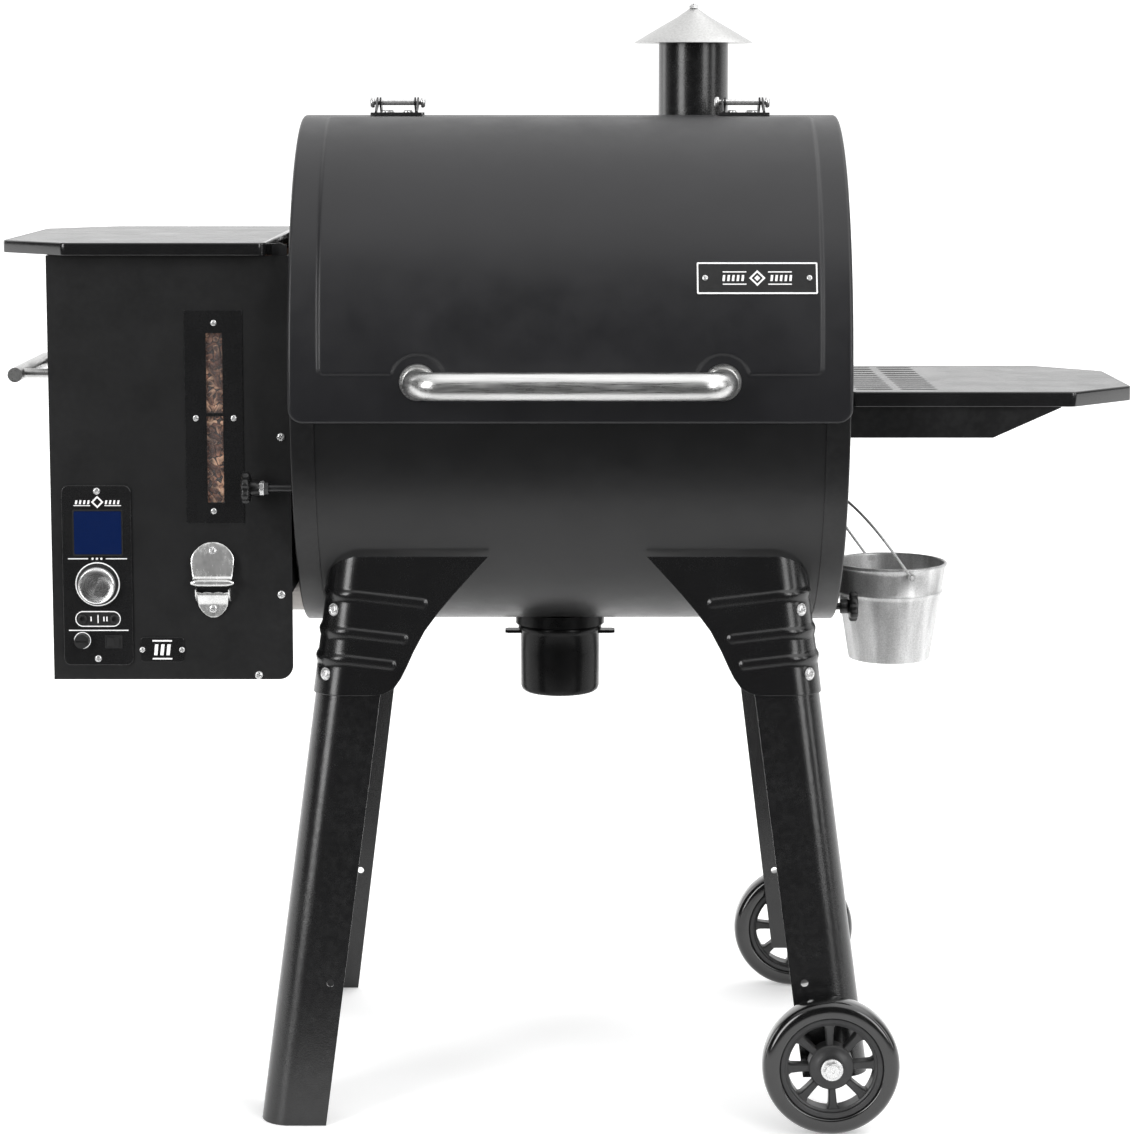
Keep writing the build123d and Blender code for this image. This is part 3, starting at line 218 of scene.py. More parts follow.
def spun(name, base, rough, centre, axis):
    """Metal turned on a lathe: fine rings about an axis, so that highlights fan out from its centre."""
    s = Shader(name)
    coords = s.nodes.new("ShaderNodeTexCoord")
    offset = s.nodes.new("ShaderNodeVectorMath")
    offset.operation = "SUBTRACT"
    offset.inputs[1].default_value = centre
    s.links.new(coords.outputs["Object"], offset.inputs[0])
    parts = s.nodes.new("ShaderNodeSeparateXYZ")
    s.links.new(offset.outputs[0], parts.inputs[0])
    u, v = [parts.outputs[i] for i in range(3) if i != axis]
    radius = s.maths("SQRT", s.maths("ADD", s.maths("MULTIPLY", u, u), s.maths("MULTIPLY", v, v)), 0)
    rings = s.nodes.new("ShaderNodeTexNoise")
    rings.noise_dimensions = "1D"
    rings.inputs["Scale"].default_value = 3500
    rings.inputs["Detail"].default_value = 3
    s.links.new(radius, rings.inputs["W"])
    colour = s.ramp(rings.outputs["Fac"], (0.3, grey(base * 0.85)), (0.7, grey(base)))
    tangent = s.nodes.new("ShaderNodeTangent")
    tangent.direction_type = "RADIAL"
    tangent.axis = "XYZ"[axis]
    s.bump(rings.outputs["Fac"], 0.1, 0.0002)
    s.links.new(tangent.outputs[0], s.bsdf.inputs["Tangent"])
    s.drive(Base_Color=colour, Metallic=1.0, Anisotropic=0.85,
            Roughness=s.spread(rings.outputs["Fac"], rough - 0.06, rough + 0.1))
    return s.material


def moulded(name, base, rough, grain=700.0, bump=0.08, tint=0.03, coat=0.0):
    """Moulded plastic or rubber with a fine texture and a few scuffs."""
    s = Shader(name)
    colour = s.ramp(s.noise(40, 4), (0.3, grey(base * 0.8, tint)), (0.7, grey(base * 1.25, tint)))
    colour = s.mix(s.edge_wear(0.03), colour, grey(0.2))
    s.bump(s.noise(grain, 2), bump, 0.0003)
    scuff = s.spread(s.noise(60, 5, 0.7, distortion=0.4), rough - 0.07, rough + 0.1)
    s.drive(Base_Color=colour, Roughness=scuff, Coat_Weight=coat, Coat_Roughness=0.12)
    return s.material


def zinc(name, base=0.72, rough=0.22, grain=500):
    """Plated or galvanised steel with soft crystalline patches."""
    s = Shader(name)
    patch = s.cells(grain)
    colour = s.ramp(patch, (0.0, grey(base * 0.8)), (0.5, grey(base)), (1.0, grey(min(1, base * 1.15))))
    s.bump(s.noise(grain * 2, 2), 0.1, 0.0002)
    s.drive(Base_Color=colour, Metallic=0.7,
            Roughness=s.spread(s.noise(grain * 0.6, 3), rough - 0.06, rough + 0.12))
    return s.material


def galvanised():
    """The bucket's fine-grained zinc coat, with faint vertical runs."""
    s = Shader("galvanised_steel")
    grain = s.noise(650, 4, 0.7)
    runs = s.noise(60, 3, 0.5, (1, 1, 0.12))
    colour = s.ramp(s.maths("MULTIPLY", s.maths("ADD", grain, runs), 0.5),
                    (0.36, grey(0.42)), (0.5, grey(0.6)), (0.64, grey(0.8)))
    s.bump(grain, 0.28, 0.0004)
    s.drive(Base_Color=colour, Metallic=0.65, Roughness=s.spread(grain, 0.3, 0.5))
    return s.material


def wood():
    """Pressed pellets: fibres, a different tone on each pellet, painted shade (an occlusion mask)
    darkening the gaps and ends where pellets crowd together, and a painted glow in their own colour.
    """
    s = Shader("pressed_wood")
    info = s.nodes.new("ShaderNodeAttribute")
    info.attribute_name = "tone"
    fibre = s.noise(420, 4, 0.65, (1, 1, 1), 0.6)
    value = s.maths("MULTIPLY", s.maths("ADD", fibre, info.outputs["Fac"]), 0.5)
    colour = s.ramp(value, (0.28, (0.14, 0.05, 0.03)), (0.5, (0.42, 0.20, 0.12)),
                    (0.72, (0.80, 0.50, 0.33)))
    # Painted shade: an ambient occlusion mask darkens the colour towards near-black brown in the gaps
    # between pellets.
    gap_shade = s.nodes.new("ShaderNodeAmbientOcclusion")
    gap_shade.inputs["Distance"].default_value = 0.006
    colour = s.mix(s.spread(gap_shade.outputs["AO"], 0.0, 1.0, 0.3, 0.75), (0.035, 0.012, 0.008), colour)
    s.bump(fibre, 0.5, 0.0006)
    # Painted glow: the pellets emit their own colour, so they look lit behind the dark window.
    s.drive(Base_Color=colour, Roughness=s.spread(fibre, 0.55, 0.85), Emission_Color=colour,
            Emission_Strength=0.3)
    return s.material


def display():
    """A lit navy display under gloss, with a faint pixel grid."""
    s = Shader("display_blue")
    grid = s.noise(1500, 0)
    colour = s.ramp(grid, (0.3, (0.001, 0.007, 0.040)), (0.7, (0.002, 0.010, 0.055)))
    s.drive(Base_Color=colour, Roughness=s.spread(s.noise(80, 3), 0.12, 0.22), Coat_Weight=0.4,
            Coat_Roughness=0.05, Emission_Color=(0.0, 0.012, 0.085, 1), Emission_Strength=0.3)
    return s.material


def clear_pane():
    """The hopper's window: clear sheet with faint smears."""
    s = Shader("clear_pane")
    s.drive(Base_Color=s.ramp(s.noise(25, 3), (0.3, grey(0.5)), (0.7, grey(0.6))),
            Roughness=s.spread(s.noise(50, 4), 0.04, 0.12), Alpha=0.10)
    return s.material


def heat_steel(name, base, rough, tan=0.0):
    """Bare inner sheet steel with rolling marks and heat staining."""
    s = Shader(name)
    stain = s.noise(14, 5, 0.6)
    colour = s.ramp(stain, (0.3, (base * 0.75, base * 0.72, base * 0.7)),
                    (0.7, (base * (1 + tan), base, base * (1 - tan))))
    rolled = s.noise(300, 3, 0.5, (0.2, 1, 1))
    s.bump(rolled, 0.08, 0.0004)
    s.drive(Base_Color=colour, Metallic=0.9, Roughness=s.spread(rolled, rough - 0.08, rough + 0.12))
    return s.material


def printed(name, base=0.8):
    """White screen print, with a faint white painted glow that keeps it bright."""
    s = Shader(name)
    s.bump(s.noise(900, 2), 0.05, 0.0002)
    s.drive(Base_Color=s.ramp(s.noise(600, 2), (0.3, grey(base * 0.9)), (0.7, grey(base))),
            # Painted glow: the print emits white light of its own.
            Roughness=s.spread(s.noise(300, 2), 0.4, 0.55), Emission_Color=(1, 1, 1, 1),
            Emission_Strength=0.35)
    return s.material


LID_PAINT = coated("lid_powder_coat", 0.0115, 0.38, 1100, 0.08, tint=0.16, specular=0.5)
BARREL_PAINT = coated("barrel_powder_coat", 0.0085, 0.34, 1000, 0.10, specular=0.45)
GLOSS_TOP = coated("gloss_powder_coat", 0.010, 0.26, 800, 0.04, coat=0.15, coat_rough=0.12, specular=0.36)
HAMMERED = coated("hammered_coat", 0.0075, 0.24, 620, 0.30, coat=0.25, coat_rough=0.14, spots=0.03)
SATIN_BLACK = coated("hopper_satin_coat", 0.0080, 0.42, 1300, 0.06, wear=0.015)
PLATE_BLACK = coated("plate_gloss_coat", 0.0085, 0.26, 1100, 0.04, coat=0.4, coat_rough=0.12, wear=0.01)
RIM_BLACK = coated("rim_gloss_coat", 0.008, 0.22, 900, 0.04, coat=0.6, coat_rough=0.1)
CUP_PAINT = coated("ash_cup_enamel", 0.004, 0.30, 600, 0.05, coat=0.05, coat_rough=0.15, specular=0.15)
STEEL_X = brushed("brushed_steel_along_x", 0.68, 0.30, (0.03, 1, 1))
STEEL_Y = brushed("brushed_steel_along_y", 0.60, 0.30, (1, 0.03, 1))
STEEL_STAMPED = brushed("stamped_steel", 0.80, 0.20, (1, 1, 0.3), 0.3, metallic=0.72, bump=0.015)
ZINC = zinc("bright_zinc")
GALVANISED = galvanised()
WIRE = zinc("wire_zinc", 0.55, 0.3)
CAP_STEEL = brushed("cap_satin_steel", 0.56, 0.34, (1, 1, 1), 2.5, bump=0.01)
BLACK_PLASTIC = moulded("black_plastic", 0.012, 0.42)
KNOB_PLASTIC = moulded("knob_plastic", 0.010, 0.30, 500, 0.1)
GLOSS_TYRE = moulded("tyre_black_gloss", 0.0035, 0.16, 500, 0.03, coat=0.8)
HUB_GREY = moulded("hub_satin_grey", 0.020, 0.38, 600, 0.12)
BLACK_ROD = coated("black_oxide_rod", 0.02, 0.32, 900, 0.1)
INNER = heat_steel("inner_sheet_steel", 0.42, 0.38, 0.06)
GRATE = coated("porcelain_grate", 0.012, 0.3, 300, 0.3, coat=0.3)
WOOD = wood()
DISPLAY = display()
PANE = clear_pane()
PRINT = printed("white_print")
COAT_OF_SLOT = {
    "black_powder_coat": BARREL_PAINT, "black_hammered_coat": HAMMERED, "hopper_coat": SATIN_BLACK,
    "stainless": STEEL_STAMPED, "cap_stainless": CAP_STEEL, "zinc_screws": ZINC, "galvanised": GALVANISED,
    "inner_steel": INNER, "black_plastic": BLACK_PLASTIC, "display": DISPLAY, "window": PANE,
    "wood_pellets": WOOD, "cast_grate": GRATE, "tyre_black": GLOSS_TYRE, "hub_grey": HUB_GREY,
    "dial_metal": ZINC, "black_steel_rod": BLACK_ROD,
}
for part in frame["record"]["subparts"]:
    cad = NODES[part["node"]]
    cad.data.materials.clear()
    cad.data.materials.append(COAT_OF_SLOT[part["material_slot"]])
SPECIAL = {
    "lid_shell": LID_PAINT, "hopper_lid": GLOSS_TOP, "side_shelf": GLOSS_TOP, "lid_handle": STEEL_X,
    "hopper_handle": STEEL_Y, "hinge_brackets": BLACK_ROD, "lid_hinge_leaves": BLACK_ROD,
    "ash_cup": CUP_PAINT, "ash_collar": CUP_PAINT, "bucket_bail": WIRE, "slide_knob": KNOB_PLASTIC,
    "ash_knob": KNOB_PLASTIC, "chimney_pipe": HAMMERED,
}
for node, material in SPECIAL.items():
    NODES[node].data.materials[0] = material

# ---------------------------------------------------------------- stage, lights and camera
scene = bpy.context.scene
scene.view_settings.view_transform = "Standard"
world = bpy.data.worlds.new("studio")
scene.world = world
world.use_nodes = True


def step(tree, value, low, high, bottom=0.0, top=1.0):
    """A soft step from bottom to top as value goes from low to high."""
    node = tree.nodes.new("ShaderNodeMapRange")
    node.interpolation_type = "SMOOTHSTEP"
    for key, number in (("From Min", low), ("From Max", high), ("To Min", bottom), ("To Max", top)):
        node.inputs[key].default_value = number
    tree.links.new(value, node.inputs["Value"])
    return node.outputs["Result"]


def build_studio():
    """A white room for the camera, with a ceiling panel, strip lights and a back wall as its light."""
    tree = world.node_tree
    coords = tree.nodes.new("ShaderNodeTexCoord")
    parts = tree.nodes.new("ShaderNodeSeparateXYZ")
    tree.links.new(coords.outputs["Generated"], parts.inputs[0])
    x, y, z = parts.outputs
    across = step(tree, x, -0.5, 0.6, CEILING[0], CEILING[1])
    lower = calc(tree, "ADD", z, step(tree, x, 0.0, 0.5, 0.0, 0.14))
    light = calc(tree, "MULTIPLY", step(tree, lower, *CEILING_EDGE), across)
    light = calc(tree, "MAXIMUM", light, step(tree, y, 0.05, 0.4, 0, BACK_WALL))
    azimuth = calc(tree, "MULTIPLY", calc(tree, "ARCTAN2", x, calc(tree, "MULTIPLY", y, -1.0)), 180 / pi)
    low = calc(tree, "MULTIPLY", step(tree, z, -0.25, 0.0), step(tree, z, 0.75, 0.5))
    for middle, half, power in STRIPS:
        off = calc(tree, "ABSOLUTE", calc(tree, "SUBTRACT", azimuth, middle))
        strip = calc(tree, "MULTIPLY", step(tree, off, half * 1.5, half * 0.5), low)
        light = calc(tree, "MAXIMUM", light, calc(tree, "MULTIPLY", strip, power))
    light = calc(tree, "MAXIMUM", light, DARK_ROOM)
    path = tree.nodes.new("ShaderNodeLightPath")
    shown = calc(tree, "MAXIMUM", light, path.outputs["Is Camera Ray"])
    background = tree.nodes["Background"]
    tree.links.new(shown, background.inputs["Strength"])
    background.inputs["Color"].default_value = (1, 1, 1, 1)


CEILING = (0.9, 2.2)              # brightness of the ceiling panel at the left and at the right
CEILING_EDGE = (0.60, 0.86)       # sine of the elevation where it begins and is full
BACK_WALL = 1.2
STRIPS = ((-42, 9, 8.0), (38, 8, 5.5), (-116, 8, 3.0), (68, 6, 3.5))
DARK_ROOM = 0.05
build_studio()


def pale_floor():
    """White floor. For light and reflections it is darker further in front, where the studio is dark."""
    s = Shader("pale_floor")
    tree = s.tree
    place = s.nodes.new("ShaderNodeNewGeometry")
    parts = s.nodes.new("ShaderNodeSeparateXYZ")
    s.links.new(place.outputs["Position"], parts.inputs[0])
    near = step(tree, parts.outputs[1], FLOOR_EDGE[0], FLOOR_EDGE[1], 0.05, 1.0)
    path = s.nodes.new("ShaderNodeLightPath")
    shown = calc(tree, "MAXIMUM", near, path.outputs["Is Camera Ray"])
    pale = s.spread(s.noise(2, 2), 0.88, 0.92)
    s.bsdf.inputs["Roughness"].default_value = 0.8
    s.bsdf.inputs["Specular IOR Level"].default_value = 0.0
    shade = s.nodes.new("ShaderNodeCombineColor")
    level = calc(tree, "MULTIPLY", pale, shown)
    for slot in shade.inputs:
        s.links.new(level, slot)
    s.links.new(shade.outputs[0], s.bsdf.inputs["Base Color"])
    s.links.new(shade.outputs[0], s.bsdf.inputs["Emission Color"])
    s.bsdf.inputs["Emission Strength"].default_value = FLOOR_GLOW
    return s.material


FLOOR_EDGE = (-1.05, -0.65)
FLOOR_GLOW = 0.35
bm = bmesh.new()
bmesh.ops.create_circle(bm, cap_ends=True, radius=30, segments=64)
floor_mesh = bpy.data.meshes.new("studio_floor")
bm.to_mesh(floor_mesh)
bm.free()
floor = bpy.data.objects.new("studio_floor", floor_mesh)
floor.location = (0, 0, -0.0005)
floor_mesh.materials.append(pale_floor())
scene.collection.objects.link(floor)

camera_data = bpy.data.cameras.new("photo_view")
camera_data.lens = 93.94
camera_data.sensor_width = 36
camera_data.shift_y = -0.1
camera_data.clip_end = 100
camera = bpy.data.objects.new("photo_view", camera_data)
camera.location = (-0.0036, -3.49125, 1.163)
camera.rotation_euler = (radians(90 - 6.95), 0, 0)
scene.collection.objects.link(camera)
scene.camera = camera


# ---------------------------------------------------------------- mesh helpers
def make(name, bm, material, body, replaces=(), sharp=40, thickness=0.0, bevel=0.0):
    """Turns a bmesh into a smooth-shaded piece that rides on a body, with the material it is given."""
    bmesh.ops.remove_doubles(bm, verts=bm.verts, dist=2e-6)
    bmesh.ops.recalc_face_normals(bm, faces=bm.faces)
    limit = radians(sharp)
    for face in bm.faces:
        face.smooth = True
    for edge in bm.edges:
        edge.smooth = len(edge.link_faces) < 2 or edge.calc_face_angle(0) < limit
    mesh = bpy.data.meshes.new(name)
    bm.to_mesh(mesh)
    bm.free()
    mesh.materials.append(material)
    piece = bpy.data.objects.new(name, mesh)
    scene.collection.objects.link(piece)
    if thickness:
        solid = piece.modifiers.new("sheet", "SOLIDIFY")
        solid.thickness = thickness / 1000
        solid.offset = -1
        solid.use_even_offset = True
    if bevel:
        rounded = piece.modifiers.new("edges", "BEVEL")
        rounded.width = bevel / 1000
        rounded.segments = 2
        rounded.limit_method = "ANGLE"
        rounded.angle_limit = radians(35)
        rounded.harden_normals = True
    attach(piece, body)
    if replaces:
        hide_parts(*replaces)
    return piece


def spaced(*runs):
    """Values through runs of (start, end, step), ends included once."""
    values = [runs[0][0]]
    for start, end, gap in runs:
        count = max(1, round((end - start) / gap))
        values += [start + (end - start) * i / count for i in range(1, count + 1)]
    return values


def skin(bm, rows, ring=False, wrap=False):
    """Faces between rows of points. ring joins each row's ends, wrap joins the last row to the first."""
    verts = [[bm.verts.new(p) for p in line] for line in rows]
    pairs = list(zip(verts, verts[1:])) + ([(verts[-1], verts[0])] if wrap else [])
    for a, b in pairs:
        count = len(a)
        for i in range(count if ring else count - 1):
            j = (i + 1) % count
            bm.faces.new((a[i], a[j], b[j], b[i]))
    return verts


def loft(bm, rows):
    """A closed solid through rings of points."""
    verts = skin(bm, rows, ring=True)
    bm.faces.new(verts[0])
    bm.faces.new(verts[-1])
    return verts


def turns(steps):
    """Angles once round, evenly spaced."""
    return [tau * i / steps for i in range(steps)]


def circle(radius, middle=(0, 0), steps=72):
    return [(middle[0] + radius * cos(a), middle[1] + radius * sin(a)) for a in turns(steps)]


def frame_of(normal, up=(0, 0, 1)):
    """Three unit vectors: right, up and out, with out along the normal."""
    out = Vector(normal).normalized()
    right = Vector(up).cross(out)
    if right.length < 1e-6:
        right = Vector((1, 0, 0)).cross(out)
    right.normalize()
    return right, out.cross(right), out


def lathe(bm, centre, normal, profile, steps=48, closed=False):
    """Turns a profile of (radius, height along normal), in mm, about an axis through centre."""
    right, up, out = frame_of(normal)
    rows = [[centre + (right * cos(a) * radius + up * sin(a) * radius + out * height) / 1000
             for a in turns(steps)] for radius, height in profile]
    if closed:
        skin(bm, rows, ring=True, wrap=True)
    else:
        loft(bm, rows)


def sweep_round(bm, path, radius, sides):
    """A round bar along a path of row-frame points; radius in mm."""
    rows, up = [], path[1] - path[0]
    up = up.normalized().orthogonal().normalized()
    for i, point in enumerate(path):
        ahead = path[i + 1] if i + 1 < len(path) else point
        behind = path[i - 1] if i > 0 else point
        way = (ahead - behind).normalized()
        up = (up - way * up.dot(way)).normalized()
        side = way.cross(up)
        rows.append([point + (up * cos(a) + side * sin(a)) * radius / 1000 for a in turns(sides)])
    loft(bm, rows)


def rounded_path(corners, radius, steps=10):
    """Points along straight runs with rounded corners; all in mm vectors."""
    points = [corners[0]]
    for before, corner, after in zip(corners, corners[1:], corners[2:]):
        a, b = (before - corner).normalized(), (after - corner).normalized()
        turn = pi - a.angle(b)
        reach = radius * sin(turn / 2) / cos(turn / 2)
        centre = corner + (a + b).normalized() * (radius / cos(turn / 2))
        start, end = corner + a * reach - centre, corner + b * reach - centre
        for i in range(steps + 1):
            t = i / steps
            mixed = start * sin((1 - t) * turn) + end * sin(t * turn)
            points.append(centre + mixed / sin(turn))
    points.append(corners[-1])
    return points


def slab(bm, outline, place, depth, start=0.0):
    """A flat plate: outline points in a plane, place(u, v, height) gives the row-frame point."""
    loft(bm, [[place(u, v, height) for u, v in outline] for height in (start, start + depth)])


def bar(bm, u0, u1, v, wide, place, depth, start=0.01):
    """A straight bar from u0 to u1, centred on v."""
    low, high = v - wide / 2, v + wide / 2
    slab(bm, [(u0, low), (u1, low), (u1, high), (u0, high)], place, depth, start)


def slanted(bm, u, v0, v1, far, near, place, depth, start=0.01):
    """A slanted bar of the plain ornament, from height v0 to v1."""
    slab(bm, [(u - far, v0), (u + near, v0), (u + far, v1), (u - near, v1)], place, depth, start)


def front(y):
    """place() for slabs on a plane facing the front: u is x, v is z, height goes to the front."""
    return lambda u, v, height: row(u, y - height, v)


def rounded_box(width, height, radius, middle=(0, 0), steps=6):
    points = []
    for cx, cy, start in ((1, 1, 0), (-1, 1, 90), (-1, -1, 180), (1, -1, 270)):
        for i in range(steps + 1):
            a = radians(start + 90 * i / steps)
            points.append((middle[0] + cx * (width / 2 - radius) + radius * cos(a),
                           middle[1] + cy * (height / 2 - radius) + radius * sin(a)))
    return points


def diamond(reach, u=0, v=0):
    return [(u, v - reach), (u + reach, v), (u, v + reach), (u - reach, v)]


def loop_band(bm, outer, inner, place, depth, start=0.0):
    """A flat frame between two outlines with the same number of points."""
    top = start + depth
    skin(bm, [[place(u, v, h) for u, v in line]
              for line, h in ((outer, start), (outer, top), (inner, top), (inner, start))],
         ring=True, wrap=True)


def pan_screw(bm, centre, normal, radius=4.0, height=2.3, turn=20, washer=0.0):
    """A pan head with a cross recess, on a surface."""
    right, up, out = frame_of(normal)
    steps, rings = 40, 9
    around = [right * cos(a) + up * sin(a) for a in turns(steps)]
    skirt = [(washer, 0), (washer, 0.7), (radius, 0.7)] if washer else []
    rows = [[centre + (way * r + out * h) / 1000 for way in around] for r, h in skirt + [(radius, 0)]]
    for ring in range(rings):
        t = ring / (rings - 1)
        r = radius * cos(t * pi / 2) ** 0.8 if t < 1 else 0.05
        line = []
        for a, way in zip(turns(steps), around):
            u, v = r * cos(a - radians(turn)), r * sin(a - radians(turn))
            arm = min(abs(u), abs(v)) / radius
            reach = max(abs(u), abs(v)) / radius
            cross = (1 - smooth01((arm - 0.10) / 0.10)) * (1 - smooth01((reach - 0.45) / 0.2))
            h = height * (0.35 + 0.65 * sin(t * pi / 2) - 0.55 * cross)
            line.append(centre + (way * r + out * h) / 1000)
        rows.append(line)
    loft(bm, rows)


# ---------------------------------------------------------------- lid
def arc_table(a, b, start, end, count=900):
    """Angles and running lengths along an oval arc."""
    table, length = [(0.0, start)], 0.0
    for i in range(1, count + 1):
        t0, t1 = (start + (end - start) * k / count for k in (i - 1, i))
        length += hypot(a * (cos(t1) - cos(t0)), b * (sin(t1) - sin(t0)))
        table.append((length, t1))
    return table


LID_START = -0.12704      # the lid's lower front edge, as an angle on its oval
LID_END = pi / 2 + LID_BACK_Y / LID_A
LID_TABLE = arc_table(LID_A, LID_B, LID_START, LID_END)
LID_RUN = LID_TABLE[-1][0]


def lid_angle(s):
    t = min(max(s / LID_RUN, 0), 1) * (len(LID_TABLE) - 1)
    i = min(int(t), len(LID_TABLE) - 2)
    low, high = LID_TABLE[i], LID_TABLE[i + 1]
    return low[1] + (high[1] - low[1]) * (s - low[0]) / (high[0] - low[0])


def lid_run(z):
    """Distance up the lid's front from its lower edge to height z."""
    angle = sqrt(max(0, 1 - ((z - AXIS_Z) / LID_B) ** 2))
    target = atan2((z - AXIS_Z) / LID_B, angle)
    return min(LID_TABLE, key=lambda entry: abs(entry[1] - target))[0]


def lid_place(x, s, height=0.0):
    """A point on the lid, s mm up from its lower edge, height mm proud of its skin."""
    a = lid_angle(s)
    out = Vector((0, -cos(a) / LID_A, sin(a) / LID_B)).normalized()
    base = Vector((x, -LID_A * cos(a), AXIS_Z + LID_B * sin(a))) + out * height
    return row(*base)


PANEL_LOW = lid_run(853)
PANEL_HIGH = LID_RUN - 40
SEAT_X, SEAT_S, SEAT_R = 168.0, lid_run(847), 28.0
PANEL_PROUD, BORDER_LOW = 1.5, -0.7


def lid_height(x, s):
    """The pressed panel in the lid: proud inside its outline, except round the handle's two roots."""
    half = 279.5 + 3.5 * s / LID_RUN
    corner = 9.0
    u = abs(x) - half + corner
    v = max(PANEL_LOW + corner - s, s - (PANEL_HIGH - corner))
    inside = corner - (hypot(max(u, 0), max(v, 0)) if u > 0 or v > 0 else max(u, v))
    seat = hypot(abs(x) - SEAT_X, s - SEAT_S) - SEAT_R
    return BORDER_LOW + (PANEL_PROUD - BORDER_LOW) * smooth01(min(inside, seat) / 5)


def build_lid():
    edge_r, corner_r, flat_x = 4.0, 12.5, LID_X - 4.0
    arc_x = flat_x - corner_r
    half = spaced((0, 120, 12), (120, 136, 4), (136, 200, 1.5), (200, 268, 8), (268, 290, 1.2),
                  (290, arc_x, 2))
    half += [arc_x + corner_r * sin(radians(a)) for a in (15, 30, 45, 60, 75, 90)]
    columns = [-x for x in reversed(half[1:])] + half
    lines = spaced((edge_r, 84, 1.5), (84, PANEL_HIGH - 12, 8), (PANEL_HIGH - 12, PANEL_HIGH + 4, 1.5),
                   (PANEL_HIGH + 4, LID_RUN, 6))
    bend = 40.0

    def low(x):
        beyond = max(0.0, abs(x) - arc_x)
        return edge_r + corner_r - sqrt(max(0.0, corner_r ** 2 - beyond ** 2))

    def run(x, s):
        return s if s > bend else low(x) + (s - edge_r) * (bend - low(x)) / (bend - edge_r)

    bm = bmesh.new()
    rows = [[lid_place(x, run(x, s), lid_height(x, run(x, s))) for x in columns] for s in lines]
    verts = skin(bm, rows)
    border = [(columns[0], run(columns[0], s)) for s in reversed(lines)]
    border += [(x, low(x)) for x in columns[1:-1]]
    border += [(columns[-1], run(columns[-1], s)) for s in lines]
    loop = [line[0] for line in reversed(verts)] + verts[0][1:-1] + [line[-1] for line in verts]
    previous = loop
    for step in range(1, 6):
        turn = radians(min(step, 4) * 22.5)
        ring = []
        for x, s in border:
            beyond = Vector((max(0.0, abs(x) - arc_x) * (1 if x > 0 else -1),
                             min(0.0, s - edge_r - corner_r)))
            way = beyond.normalized() if beyond.length > 1e-6 else Vector((0, -1))
            lip = 2.5 + 10.5 * smooth01(abs(way.x)) if step == 5 else 0.0
            ring.append(bm.verts.new(lid_place(x + way.x * edge_r * sin(turn),
                                               s + way.y * edge_r * sin(turn),
                                               BORDER_LOW - edge_r * (1 - cos(turn)) - lip)))
        for i in range(len(ring) - 1):
            bm.faces.new((previous[i], previous[i + 1], ring[i + 1], ring[i]))
        previous = ring
    make("lid_pressed_shell", bm, LID_PAINT, "lid", ["lid_shell"], thickness=1.0)


build_lid()


def build_handle():
    """Brushed tube with swept ends and a trim ring at each root."""
    y_bar, z, reach, root = -312.0, 847.0, 168.0, -262.5
    corners = [Vector((-reach, root, z)), Vector((-reach, y_bar, z)), Vector((reach, y_bar, z)),
               Vector((reach, root, z))]
    path = [row(*p) for p in rounded_path(corners, 26, 14)]
    straight = path[len(path) // 2 - 1], path[len(path) // 2]
    middle = [straight[0].lerp(straight[1], i / 24) for i in range(1, 24)]
    path = path[:len(path) // 2] + middle + path[len(path) // 2:]
    bm = bmesh.new()
    sweep_round(bm, path, 15.5, 40)
    for x in (-reach, reach):
        lathe(bm, row(x, root + 0.5, z), (0, -1, 0),
              [(15.4, 0), (20.5, 0), (20.5, 2.6), (19.4, 4.6), (17.2, 5.0), (15.4, 4.0)], 48, closed=True)
    make("lid_handle_tube", bm, STEEL_X, "lid", ["lid_handle"])


build_handle()


def build_name_plate():
    """Black plate with a raised pale border and a plain ornament: bars and a diamond."""
    s_mid, x_mid, width, height = lid_run(959.5), 206.0, 133.0, 36.0

    def place(u, v, h):
        return lid_place(x_mid + u, s_mid + v, PANEL_PROUD + h)

    bm = bmesh.new()
    slab(bm, rounded_box(width, height, 1.5), place, 1.3, 0.2)
    make("name_plate_black", bm, SATIN_BLACK, "lid", ["name_plate"])
    bm = bmesh.new()
    loop_band(bm, rounded_box(width, height, 1.5), rounded_box(width - 3.4, height - 3.4, 1.0), place,
              1.75, 0.2)
    for side in (-1, 1):
        for v in (7.0, -7.0):
            bar(bm, side * 12, side * 38, v, 1.2, place, 1.62, 0.2)
        for k in range(5):
            slanted(bm, side * (16 + 5.2 * k), -3.4, 3.4, 1.7, 0.9, place, 1.62, 0.2)
    loop_band(bm, diamond(9), diamond(6.4), place, 1.62, 0.2)
    slab(bm, diamond(3.2), place, 1.62, 0.2)
    make("name_plate_border", bm, PRINT, "lid")
    bm = bmesh.new()
    angle = lid_angle(s_mid)
    out = Vector((0, -cos(angle) / LID_A, sin(angle) / LID_B))
    for u in (-57.5, 57.5):
        pan_screw(bm, place(u, 0, 1.4), out, 3.3, 1.9, 30)
    make("name_plate_screws", bm, ZINC, "lid")


build_name_plate()


# ---------------------------------------------------------------- leg brackets
LEAN_X, LEAN_Y = 0.1278, 0.0946           # how far the legs come in for each mm of height
LEG_X, LEG_Y = 352.0, 264.6               # the legs' outer corner at the floor
LEG_MID = -3.0
BRACKET_INNER = ((487.0, 222), (487.6, 216), (489.8, 205.5), (495.3, 196), (506.4, 188.1), (519, 181.7),
                 (536.4, 173.8), (560.1, 161.1), (581.4, 145.2), (601.9, 127.8), (620.8, 110.4),
                 (643.8, 89))
BRACKET_OUTER = ((600, 279), (612, 276), (624, 271), (633, 264), (639, 255), (643.8, 241))
RIB_LINES = ((601.5, 163, 70), (559.5, 185, 62), (529, 198.5, 55))
BRACKET_R = 36.6


